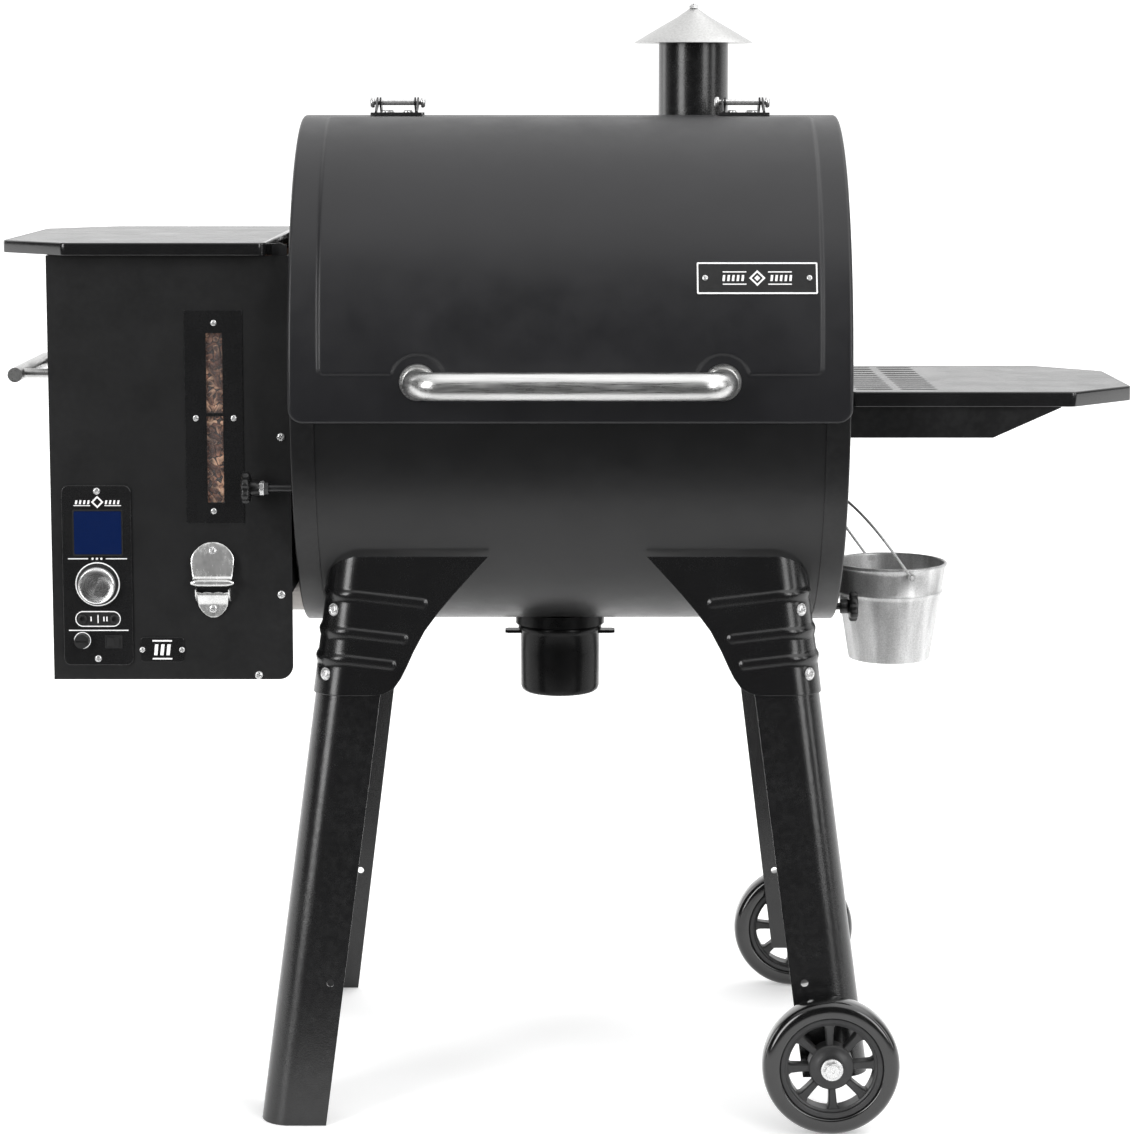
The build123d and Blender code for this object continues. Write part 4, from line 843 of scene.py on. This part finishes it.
def along(table, z):
    for (z0, v0), (z1, v1) in zip(table, table[1:]):
        if z <= z1:
            return v0 + (v1 - v0) * (z - z0) / (z1 - z0)
    return table[-1][1]


def barrel_reach(z, gap=2.0):
    """How far from its axis the barrel reaches at height z."""
    up = abs(z - AXIS_Z) / (BARREL_B + gap)
    return (BARREL_A + gap) * sqrt(1 - up * up) if up < 1 else 0.0


def build_bracket(name, sx, sy):
    """A formed corner sheet with three pressed ribs that run round the corner."""
    arc = BRACKET_R * pi / 2
    heights = spaced((487.0, 491, 0.8), (491, 640, 1.5), (640, 643.8, 0.6))
    rows = []
    for z in heights:
        corner_x, corner_y = LEG_X - LEAN_X * z, LEG_Y - LEAN_Y * z
        start = along(BRACKET_INNER, z) - (corner_x - BRACKET_R)
        limit = arc + 112 - BRACKET_R
        bar = barrel_reach(z)
        if bar > corner_y - 112:
            fall = (bar - corner_y + BRACKET_R) / BRACKET_R
            if fall < 0:
                limit = arc + corner_y - BRACKET_R - bar
            else:
                limit = BRACKET_R * atan2(sqrt(max(0, 1 - fall ** 2)), fall)
        if z > 600:
            side = (along(BRACKET_OUTER, z) - corner_x + BRACKET_R) / BRACKET_R
            if side < 1:
                reach = BRACKET_R * (atan2(side, sqrt(1 - side ** 2)) if side > 0 else side)
                limit = min(limit, reach)
        line = []
        count = 130
        for i in range(count + 1):
            w = start + (limit - start) * i / count
            turn = min(max(w / BRACKET_R, 0), pi / 2)
            x = corner_x - BRACKET_R + BRACKET_R * sin(turn) + min(w, 0)
            y = corner_y - BRACKET_R + BRACKET_R * cos(turn) - max(w - arc, 0)
            rise = 0.0
            for rib_z, inner_x, reach_y in RIB_LINES:
                inner_w = inner_x - (corner_x - BRACKET_R)
                outer_w = arc + reach_y - BRACKET_R
                off_w = max(inner_w - w, w - outer_w, 0)
                off_z = z - (rib_z + 0.115 * min(w, 0))
                reach = 5.5 if off_z > 0 else 9.0
                off = hypot(off_w, off_z * 5.5 / reach)
                if off < 5.5:
                    rise = max(rise, 2.3 * cos(off / 5.5 * pi / 2) ** 1.3)
            line.append(row(LEG_MID + sx * (x + rise * sin(turn)), sy * (y + rise * cos(turn)), z))
        rows.append(line)
    bm = bmesh.new()
    skin(bm, rows)
    piece = make(name + "_pressed", bm, HAMMERED, "chassis", [name], sharp=60)
    sheet = piece.modifiers.new("sheet", "SOLIDIFY")
    sheet.thickness = 0.0022
    sheet.offset = -1


for name, sx, sy in (("leg_bracket_front_left", -1, -1), ("leg_bracket_front_right", 1, -1),
                     ("leg_bracket_rear_left", -1, 1), ("leg_bracket_rear_right", 1, 1)):
    build_bracket(name, sx, sy)


# ---------------------------------------------------------------- hopper front
FRONT = (0, -1, 0)
INK = 0.12                # how thick the screen print is
PLATE_X, DIAL_X, MARK_X = -535.5, -535.3, -534.0      # middles of the controller, its dial and its mark
OPENER_X = -404.4
WINDOW_X, SLOT_LOW, SLOT_HIGH = -400.0, 703.5, 895.5


def build_window_panel():
    """Thin pressed frame round the hopper's window, with a bar across its middle."""
    bm = bmesh.new()
    middle = (WINDOW_X - 0.8, 800.6)
    slot_middle = (WINDOW_X, (SLOT_LOW + SLOT_HIGH) / 2)
    loop_band(bm, rounded_box(65.5, 241.5, 1.2, middle),
              rounded_box(18.4, SLOT_HIGH - SLOT_LOW, 1.2, slot_middle), front(HOPPER_Y), 1.3)
    bar(bm, WINDOW_X - 9.5, WINDOW_X + 9.5, 803.5, 4, front(HOPPER_Y), 0.9, 0.0)
    make("window_frame_panel", bm, PLATE_BLACK, "chassis", bevel=1.1)


def pellet(bm, middle, way, radius, length):
    """One pressed pellet with slightly crumbled ends."""
    layer = bm.verts.layers.float["tone"]
    shade = random.random()
    right, up, out = frame_of(way, (0.3, 0.5, 0.81))
    half = length / 2
    rows = [[middle + ((right * cos(a) + up * sin(a)) * radius * r + out * h) / 1000 for a in turns(9)]
            for r, h in ((0.8, -half), (1.0, -half + 0.7), (1.0, half - 0.7), (0.8, half))]
    for line in loft(bm, rows):
        for vert in line:
            vert[layer] = shade


def build_pellets():
    """Loose pellets behind the window and on top of the heap, over a lumpy core."""
    random.seed(11)
    bm = bmesh.new()
    bm.verts.layers.float.new("tone")
    for layer_y in (-181.0, -176.5, -172.0):
        z = 699.0
        while z < 902:
            for x in (-411, -404.5, -398, -391.5, -386):
                way = Vector((random.uniform(-1, 1), random.uniform(-0.35, 0.35), random.uniform(-1, 1)))
                pellet(bm, row(x + random.uniform(-2, 2), layer_y + random.uniform(-1, 1),
                               z + random.uniform(-3, 3)),
                       way, random.uniform(2.9, 3.3), random.uniform(8, 14))
            z += 8.5
    for layer_z in (889.0, 893.0):
        for i in range(17):
            for j in range(23):
                x = -573 + i * 15.2 + random.uniform(-5, 5)
                y = -171 + j * 15.4 + random.uniform(-5, 5)
                way = Vector((random.uniform(-1, 1), random.uniform(-1, 1), random.uniform(-0.25, 0.25)))
                pellet(bm, row(x, y, layer_z + random.uniform(-1, 2)), way, random.uniform(3.1, 3.6),
                       random.uniform(10, 19))
    make("pellets_loose", bm, WOOD, "chassis", ["pellets"], sharp=50)
    bm = bmesh.new()
    columns, lines = spaced((-580, -322, 8)), spaced((-165, 179, 8))
    top = [[row(x, y, 887.5 + random.uniform(-2.5, 1.5)) for x in columns] for y in lines]
    verts = skin(bm, top)
    edge = (verts[0] + [line[-1] for line in verts[1:]] + list(reversed(verts[-1][:-1]))
            + [line[0] for line in reversed(verts[1:-1])])
    low = [bm.verts.new(Vector((v.co.x, v.co.y, 0.699))) for v in edge]
    for i in range(len(edge)):
        bm.faces.new((edge[i - 1], edge[i], low[i], low[i - 1]))
    bm.faces.new(low)
    make("pellets_heap", bm, WOOD, "chassis", sharp=60)


build_window_panel()
build_pellets()


def build_controller():
    """Controller face with printed rules, jacks and rings, and its housing behind."""
    place = front(PLATE_Y)
    bm = bmesh.new()
    slab(bm, rounded_box(79, 206.5, 8, (PLATE_X, 620.25), 8), front(HOPPER_Y), 2.5)
    slab(bm, rounded_box(60, 133, 2, (PLATE_X, 595)), front(-150), 39.6)
    make("controller_face", bm, PLATE_BLACK, "chassis", ["controller_plate"], bevel=1.2)
    bm = bmesh.new()
    screen = (-534.1, 669.4)
    loop_band(bm, rounded_box(57, 53, 2.5, screen), rounded_box(53.6, 49.2, 1.5, screen), place, 0.7)
    pill = (PLATE_X, 570.7)
    slab(bm, rounded_box(49, 15.5, 7.7, pill, 8), place, 0.5)
    slab(bm, rounded_box(20, 15, 1, (-518.3, 544.4)), place, 0.6)
    for x in (-553.1, -516.7):
        lathe(bm, row(x, PLATE_Y - 0.4, 570.7), FRONT,
              [(5.2, 0), (5.2, 2.2), (4.6, 2.6), (2.6, 2.6), (2.6, 0.4), (2.5, 0)], 28, closed=True)
    make("controller_trim", bm, BLACK_PLASTIC, "chassis", bevel=0.25)
    bm = bmesh.new()
    for x0, x1, z in ((-568.3, -545.5, 639.7), (-525.5, -501.5, 639.7), (-568.8, -501.3, 557.5)):
        bar(bm, x0, x1, z, 1.2, place, INK)
    for k in range(-1, 2):
        slab(bm, rounded_box(2.6, 2.6, 1.25, (PLATE_X + 5 * k, 639.7)), place, INK, 0.01)
    loop_band(bm, rounded_box(51.5, 18, 8.9, pill, 8), rounded_box(49.3, 15.8, 7.8, pill, 8), place, 0.62,
              0.01)
    bar(bm, -536.1, -534.9, 570.7, 9.4, place, 0.62)
    for x in (-543.4, -528.8, -525.4):
        bar(bm, x - 0.7, x + 0.7, 570.7, 5.4, place, 0.62)
    for radius, wide, mid, steps in ((25.2, 1.4, (DIAL_X, 610.6), 72), (9.6, 1.0, (-553.6, 546), 48)):
        loop_band(bm, circle(radius, mid, steps), circle(radius - wide, mid, steps), place, 0.14, 0.01)
    for side in (-1, 1):
        bar(bm, MARK_X + side * 8, MARK_X + side * 27, 700.4, 0.9, place, INK)
        for k in range(4):
            slanted(bm, MARK_X + side * (10 + 4.6 * k), 702, 706.5, 1.5, 0.7, place, INK)
    loop_band(bm, diamond(7, MARK_X, 704.5), diamond(4.5, MARK_X, 704.5), place, INK, 0.01)
    make("controller_print", bm, PRINT, "chassis")


def build_dial():
    """Spun metal knob with a dark skirt."""
    centre = row(DIAL_X, PLATE_Y, 610)
    bm = bmesh.new()
    lathe(bm, centre, FRONT, [(20.8, 1.6), (21.0, 3), (21.0, 9.2), (20.3, 10.4), (19.3, 10.8),
                              (18.7, 10.4), (10, 10.1), (0.1, 10.0)], 96)
    make("dial_spun_face", bm, spun("dial_spun_metal", 0.85, 0.2, centre, 1), "dial",
         ["control_knob"])
    bm = bmesh.new()
    lathe(bm, centre, FRONT, [(23.0, 0.4), (23.3, 1.0), (22.9, 1.7), (20.9, 2.0), (20.9, 0.4)], 64)
    make("dial_skirt", bm, BLACK_PLASTIC, "dial")


def build_opener():
    """Stamped bottle opener: shoulders, a band, a rounded lip and a tongue."""
    bm = bmesh.new()
    across = [i / 12 - 1 for i in range(25)]
    upper = ((658.4, 2, 190.6), (657.9, 6, 190.8), (656.2, 11, 191.6), (653.2, 15.7, 192.9),
             (649, 20, 194.5), (645, 22.8, 195.9), (641.5, 24.2, 197), (637.6, 24.3, 198.3),
             (635.6, 24.1, 199.0), (633, 24, 199.3), (623.5, 22.8, 199.6), (621.2, 22.5, 200.0),
             (619.6, 22.3, 201.0), (618.2, 22, 202.6))
    skin(bm, [[row(OPENER_X + half * u, -y - 0.35 * cos(u * pi / 2), z) for u in across]
              for z, half, y in upper])
    body = make("opener_shoulder", bm, STEEL_STAMPED, "chassis", ["bottle_opener"],
                thickness=1.3, sharp=50)
    body.modifiers.new("soft", "BEVEL").width = 0.0004
    bm = bmesh.new()
    rows = []
    for i in range(33):
        u = i / 16 - 1
        full = max(0.12, (1 - abs(u) ** 5)) ** 0.5
        rows.append([row(OPENER_X + 24.6 * u, -202.8 - 3.2 * full * cos(a), 613.6 + 4.0 * full * sin(a))
                     for a in turns(20)])
    loft(bm, rows)
    make("opener_lip", bm, STEEL_STAMPED, "chassis", sharp=60)
    bm = bmesh.new()
    lower = ((601.5, 18.6, 199.2), (600.4, 18.4, 199.6), (598, 17.9, 198.6), (590.5, 17.2, 195.6),
             (588.3, 16.9, 194.6), (586, 16.5, 194.2), (581, 13.8, 193.6), (576.5, 9.8, 193),
             (573.6, 6, 192.6), (572.2, 2, 192.3))
    skin(bm, [[row(OPENER_X + half * u, -y, z + (1.3 * abs(sin(u * pi * 1.5)) if k == 0 else 0.0))
               for u in across] for k, (z, half, y) in enumerate(lower)])
    make("opener_tongue", bm, STEEL_STAMPED, "chassis", thickness=1.3, sharp=50)
    bm = bmesh.new()
    for side in (-1, 1):
        x = OPENER_X + side * 19.6
        slab(bm, [(190.2, 606), (203.5, 606), (201.5, 599), (195, 592), (190.2, 590)],
             lambda u, v, h, x=x, side=side: row(x - side * h, -u, v), 1.4)
    make("opener_cheeks", bm, STEEL_STAMPED, "chassis", bevel=0.3)


def build_badge():
    """Small plate low on the hopper with a plain ornament."""
    bm = bmesh.new()
    slab(bm, rounded_box(49.5, 29, 4, (-463.3, 535)), front(HOPPER_Y), 1.3)
    make("badge_plate", bm, PLATE_BLACK, "chassis", bevel=0.8)
    bm = bmesh.new()
    place = front(HOPPER_Y - 1.3)
    for z in (524.6, 545.2):
        bar(bm, -474.5, -452.2, z, 1.8, place, INK)
    for k in range(3):
        slanted(bm, -470.3 + 7 * k, 528.6, 541.2, 2.6, 1.2, place, INK)
    make("badge_print", bm, PRINT, "chassis")


def build_screws():
    """Pan head screws on the hopper and controller."""
    bm = bmesh.new()
    turn = 10
    window = ((WINDOW_X, 907), (WINDOW_X - 2.5, 694), (-421.3, 799.6), (-378.7, 799.6))
    case = ((-325.9, 778.1), (-327.4, 598.3), (-354, 505.5))
    for y, radius, height, more, places in (
            (HOPPER_Y - 0.9, 3.5, 2.0, 23, window), (HOPPER_Y, 4.6, 2.8, 31, case),
            (HOPPER_Y - 1.3, 3.3, 1.9, 17, ((-486, 535), (-441, 535))),
            (PLATE_Y, 3.9, 2.2, 29, ((-534.5, 717), (-536, 525)))):
        for x, z in places:
            pan_screw(bm, row(x, y, z), FRONT, radius, height, turn)
            turn += more
    pan_screw(bm, row(OPENER_X, -194.2, 649.6), (0, -1, 0.35), 4.6, 2.8, 35)
    pan_screw(bm, row(OPENER_X, -193.8, 582.6), FRONT, 4.6, 2.8, 60)
    make("case_screw_heads", bm, ZINC, "chassis", ["case_screws"], sharp=50)


build_controller()
build_dial()
build_opener()
build_badge()
build_screws()


# ---------------------------------------------------------------- legs' bolts, axles and wheels
WHEEL_X, WHEEL_R = 293.0, 77.5


def hex_outline(radius, turn=0.0):
    angles = [radians(60 * k + turn) for k in range(6)]
    return [(radius * cos(a), radius * sin(a)) for a in angles]


def on_axis(centre, normal):
    """place() for slabs across an axis: heights go along the normal."""
    right, up, out = frame_of(normal)
    return lambda u, v, h: centre + (right * u + up * v + out * h) / 1000


def build_leg_bolts():
    """Cross recessed bolts through the brackets, and the wheels' axle bolts."""
    bm = bmesh.new()
    tilt = atan2(LEAN_Y, 1)
    turn = 15
    for sx in (-1, 1):
        for sy in (-1, 1):
            for z in (582.8, 510.3):
                side = radians(40)
                x = sx * (LEG_X - BRACKET_R * (1 - sin(side)) - LEAN_X * z)
                y = sy * (LEG_Y - BRACKET_R * (1 - cos(side)) - LEAN_Y * z)
                pan_screw(bm, row(LEG_MID + x, y, z), (sx * sin(side), sy * cos(side), sin(tilt)),
                          6.0, 3.6, turn, washer=7.2)
                turn += 37
    make("bracket_bolts", bm, ZINC, "chassis", ["bolts_and_axles"], sharp=50)
    bm = bmesh.new()
    for sy in (-1, 1):
        out = (0, sy, 0)
        centre = row(WHEEL_X, 0, WHEEL_R)
        lathe(bm, centre, out, [(5.9, 240), (5.9, 297.5)], 32)
        lathe(bm, centre, out, [(12.2, 298.2), (12.5, 298.6), (12.5, 299.6), (12.0, 300), (6, 300),
                                (6, 298.2)], 40)
        place = on_axis(centre, out)
        slab(bm, hex_outline(9.8, 12), place, 4.3, 299.9)
        lathe(bm, centre, out, [(8.2, 304.1), (7.6, 305.2), (2.2, 305.4), (1.6, 304.6), (0.1, 304.6)], 36)
        slab(bm, hex_outline(10.2, 30), place, 7.3, 243.2)
        lathe(bm, centre, out, [(11, 257), (11, 262), (6.1, 262), (6.1, 257)], 36, closed=True)
    make("wheel_axle_bolts", bm, ZINC, "chassis", bevel=0.4)


def mirrored(profile):
    """The other half of a profile that is the same on both sides."""
    return [(r, -h) for r, h in reversed(profile)]


def build_wheel(place_name, sy):
    """Glossy tyre with a stepped side, and a satin hub with eight spokes round a stepped boss."""
    body = place_name + "_wheel"
    centre = row(WHEEL_X, sy * 280.2, WHEEL_R)
    out = (0, sy, 0)
    bm = bmesh.new()
    tyre = [(58.2, 15.6), (59.0, 17.0), (60.6, 17.4), (66, 17.7), (70.5, 17.2), (73.6, 15.6),
            (75.9, 12.6), (77.0, 8.6), (77.4, 4.2)]
    lathe(bm, centre, out, tyre + [(77.45, 0)] + mirrored(tyre) + [(58.05, -14), (58.05, 14)], 128,
          closed=True)
    make(place_name + "_tyre_ring", bm, GLOSS_TYRE, body, [place_name + "_tyre"], sharp=50)
    bm = bmesh.new()
    side = [(58.0, 14.4), (56.9, 15.2), (52.8, 15.2), (51.6, 14.2), (51.2, 11.5), (49.6, 10.9),
            (48.6, 9.8)]
    lathe(bm, centre, out, side + mirrored(side), 128, closed=True)
    boss = [(6.08, 17.2), (11.6, 17.2), (12.6, 16.4), (13.0, 13.6), (17.6, 12.6), (19.6, 11.2),
            (24.2, 10.6), (25.4, 9.4)]
    lathe(bm, centre, out, boss + mirrored(boss), 96, closed=True)
    right, up, axis = frame_of(out)
    for k in range(8):
        a = radians(45 * k + 3)
        along_r = right * cos(a) + up * sin(a)
        across = -right * sin(a) + up * cos(a)
        rows = []
        for r, wide, deep in ((23.5, 4.3, 8.6), (27, 3.9, 7.8), (36, 4.3, 7.6), (45, 4.9, 7.9),
                              (49.5, 7.6, 8.8), (51, 9.2, 9.2)):
            upper = [(wide, deep - 1.4), (wide - 1.2, deep), (-wide + 1.2, deep), (-wide, deep - 1.4)]
            rows.append([centre + (along_r * r + across * u + axis * h) / 1000
                         for u, h in mirrored(upper) + upper])
        loft(bm, rows)
    make(place_name + "_hub_spokes", bm, HUB_GREY, body, [place_name + "_hub"], sharp=35)


build_leg_bolts()
build_wheel("front", -1)
build_wheel("rear", 1)


# ---------------------------------------------------------------- bucket and knobs
BUCKET_X, CUP_X = 383, -12


def build_bucket():
    """Rolled rim, a bead, a turned-in floor and two pressed ears."""
    centre = row(BUCKET_X, 0, 0)
    bm = bmesh.new()
    outside = [(1, 492.2), (40, 492.2), (44.5, 491.4), (46.5, 490), (47.9, 490.4), (48.4, 492),
               (57.2, 546), (60.6, 566), (61.2, 569), (63.0, 570.6), (63.6, 572.2), (62.8, 573.8),
               (62.1, 575), (65.6, 598), (66.0, 601.5)]
    rim = [(67.0, 602.2), (68.0, 603.6), (68.2, 605.2), (67.4, 606.6), (66.0, 606.9), (64.8, 606.0),
           (64.6, 604.2)]
    inside = [(64.6, 598), (61.0, 574.5), (59.8, 566), (56.2, 546), (47.2, 494.5), (44, 493.8),
              (1, 493.8)]
    lathe(bm, centre, (0, 0, 1), outside + rim + inside, 96)
    turn = radians(14)
    out = Vector((sin(turn), -cos(turn), 0))
    for way in (-1, 1):
        base = row(BUCKET_X, 0, 598) + out * way * 64.4 / 1000
        lathe(bm, base, out * way, [(6.4, 0), (6.2, 0.9), (3.0, 1.5), (1.6, 1.9), (1.5, 10.2),
                                    (2.3, 10.3), (2.2, 11), (0.1, 11.1)], 28)
    make("bucket_galvanised", bm, GALVANISED, "bucket", ["grease_bucket"], sharp=50)


def build_lobed_knob(name, body, node, x0, x1, neck, y, z):
    """Six-lobed knob with a rounded rim and a neck."""
    bm = bmesh.new()
    rows = []
    for x, scale in ((x0, 0.86), (x0 + 1.2, 0.97), (x0 + 3, 1.0), (x1 - 3, 1.0), (x1 - 1.2, 0.97),
                     (x1, 0.86)):
        line = []
        for a in turns(96):
            lobe = 0.5 - 0.5 * cos(6 * a)
            r = (14.6 + 3.1 * smooth01(lobe * 1.25)) * scale
            line.append(row(x, y + r * cos(a), z + r * sin(a)))
        rows.append(line)
    loft(bm, rows)
    low, high = neck
    lathe(bm, row(0, y, z), (1, 0, 0), [(8.4, low), (8.6, low + 0.8), (8.2, high - 1), (7.6, high)], 40)
    side, face = (-1, -x0) if x0 < 0 else (1, x1)
    lathe(bm, row(0, y, z), (side, 0, 0), [(9.6, face - 0.4), (9.0, face + 0.1), (0.1, face + 0.1)], 40)
    make(name, bm, KNOB_PLASTIC, body, [node], sharp=45)


def build_rod_nut():
    """Bright lock nut between the slide's rod and its knob."""
    bm = bmesh.new()
    slab(bm, hex_outline(8.3, 12), lambda u, v, h: row(-348.2 + h, -215 + u, 723.3 + v), 5.6)
    make("slide_rod_nut", bm, ZINC, "slide_pull", bevel=0.7)


build_bucket()
build_rod_nut()
build_lobed_knob("smoke_slide_knob", "slide_pull", "slide_knob", -368.0, -358.2, (-358.4, -347.6), -215.0,
                 723.3)
build_lobed_knob("ash_pull_knob", "ash_pull", "ash_knob", 326.4, 336.2, (316.2, 326.6), -85.0, 566.5)


def build_cup():
    """Deep enamelled cup with a rounded bottom, a rolled rim and two wings."""
    centre = row(CUP_X, 0, 0)
    bm = bmesh.new()
    outside = [(0.1, 449.6), (38, 449.6), (42.5, 450.6), (45.4, 453), (46.8, 457), (46.9, 500),
               (46.9, 522), (48.2, 524.6), (49.8, 526.8), (50.0, 529.4), (49.2, 531.4), (47.6, 532.2),
               (45.6, 531.4), (44.9, 529)]
    inside = [(44.6, 500), (44.4, 458), (42, 453), (38, 451.8), (0.1, 451.8)]
    lathe(bm, centre, (0, 0, 1), outside + inside, 96)
    for side in (-1, 1):
        wing = [(45.5, -9), (62, -9), (65.6, -6), (65.6, 6), (62, 9), (45.5, 9)]
        slab(bm, [(side * u, v) for u, v in wing], lambda u, v, h: row(CUP_X + u, v, 520.6 + h), 3.6)
    make("ash_cup_enamelled", bm, CUP_PAINT, "cup", ["ash_cup"], sharp=40)


build_cup()


def build_cap():
    """Shallow spun cone on the chimney with a thin rim, a rivet nut and its threaded stem."""
    centre = row(151, 150, 0)
    bm = bmesh.new()
    outside = [(0.1, 1267.4), (6, 1264.6), (20, 1254.9), (40, 1243.4), (60, 1231.6), (71.6, 1224.6),
               (72.8, 1223.4), (72.4, 1223.0)]
    inside = [(70.9, 1223.2), (59.6, 1230.2), (39.6, 1242), (19.6, 1253.4), (6, 1262), (0.1, 1263)]
    lathe(bm, centre, (0, 0, 1), outside + inside, 128)
    make("chimney_cap_cone", bm, CAP_STEEL, "cap", ["chimney_cap"], sharp=50)
    bm = bmesh.new()
    slab(bm, hex_outline(6.4), on_axis(centre, (0, 0, 1)), 3.6, 1265.6)
    thread = [(0.1, 1171.2), (2.4, 1171.4)]
    for k in range(60):
        thread += [(2.95, 1172.2 + 1.5 * k), (2.45, 1172.9 + 1.5 * k)]
    tip = [(2.9, 1263.5), (3.6, 1269), (3.6, 1270.6), (2.4, 1271.6), (0.1, 1271.9)]
    lathe(bm, centre, (0, 0, 1), thread + tip, 24)
    make("chimney_cap_stem", bm, ZINC, "cap", sharp=30)


build_cap()


# ---------------------------------------------------------------- rolled edges and hinges
def rounded_outline(corners, grow, radius):
    """A convex outline, moved outwards and with rounded corners."""
    points = [Vector(c) for c in corners]
    count = len(points)
    ways = [(points[(i + 1) % count] - points[i]).normalized() for i in range(count)]
    outline = []
    for i in range(count):
        before, after = ways[i - 1], ways[i]
        half = before.angle(after) / 2
        out = (Vector((before.y, -before.x)) + Vector((after.y, -after.x))).normalized()
        tip = points[i] + out * grow / cos(half)
        centre = tip - out * radius / cos(half)
        first = atan2(-before.x, before.y)
        for k in range(9):
            a = first + 2 * half * k / 8
            outline.append((centre.x + radius * cos(a), centre.y + radius * sin(a)))
    return outline


def rolled_edge(name, corners, low, high, body):
    """The rolled rim round a sheet top."""
    profile = ((-2.4, high + 0.12), (-0.9, high + 0.1), (0.1, high - 0.4), (0.7, high - 1.4),
               (0.85, high - 2.8), (0.85, low + 0.9), (0.5, low + 0.1), (-0.2, low - 0.15),
               (-1.2, low - 0.15))
    bm = bmesh.new()
    skin(bm, [[row(x, y, z) for x, y in rounded_outline(corners, grow, 9 + grow)] for grow, z in profile],
         ring=True)
    make(name, bm, RIM_BLACK, body, sharp=60)


rolled_edge("hopper_lid_rolled_edge",
            [(-565, -207), (-340, -207), (-340, 207), (-565, 207), (-643, 140), (-643, -140)],
            983.5, 997.5, "hopper_cover")
rolled_edge("shelf_rolled_edge",
            [(316, -163), (572, -163), (649, -90), (649, 90), (572, 163), (316, 163)],
            809.5, 826.5, "chassis")


def build_hinge_metal():
    """Bright pins with rounded nuts, and the screws of the leaves."""
    for body, name, (reach, y, z) in (("chassis", "hinge_pins", (11, 48, 1140.2)),
                                      ("lid", "hinge_leaf_screws", (13, -9, 1140.4))):
        bm = bmesh.new()
        for middle in (-203.5, 203.5):
            if body == "chassis":
                centre = row(middle, 22, 1152)
                lathe(bm, centre, (1, 0, 0), [(3.0, -30), (3.5, -18.8), (3.5, 18.8), (3.0, 30)], 32)
                nut = [(3.2, 27.2), (5.9, 27.6), (6.4, 28.6), (6.5, 30), (6.2, 31.2), (5.2, 32.3),
                       (3.4, 32.9), (0.1, 33.1)]
                for side in (-1, 1):
                    lathe(bm, centre, (side, 0, 0), nut, 32)
            for side in (-1, 1):
                pan_screw(bm, row(middle + side * reach, y, z), (0, 0, 1), 4.4, 2.8, 25 + 40 * side,
                          washer=5.8)
        make(name, bm, ZINC, body, sharp=45)


build_hinge_metal()
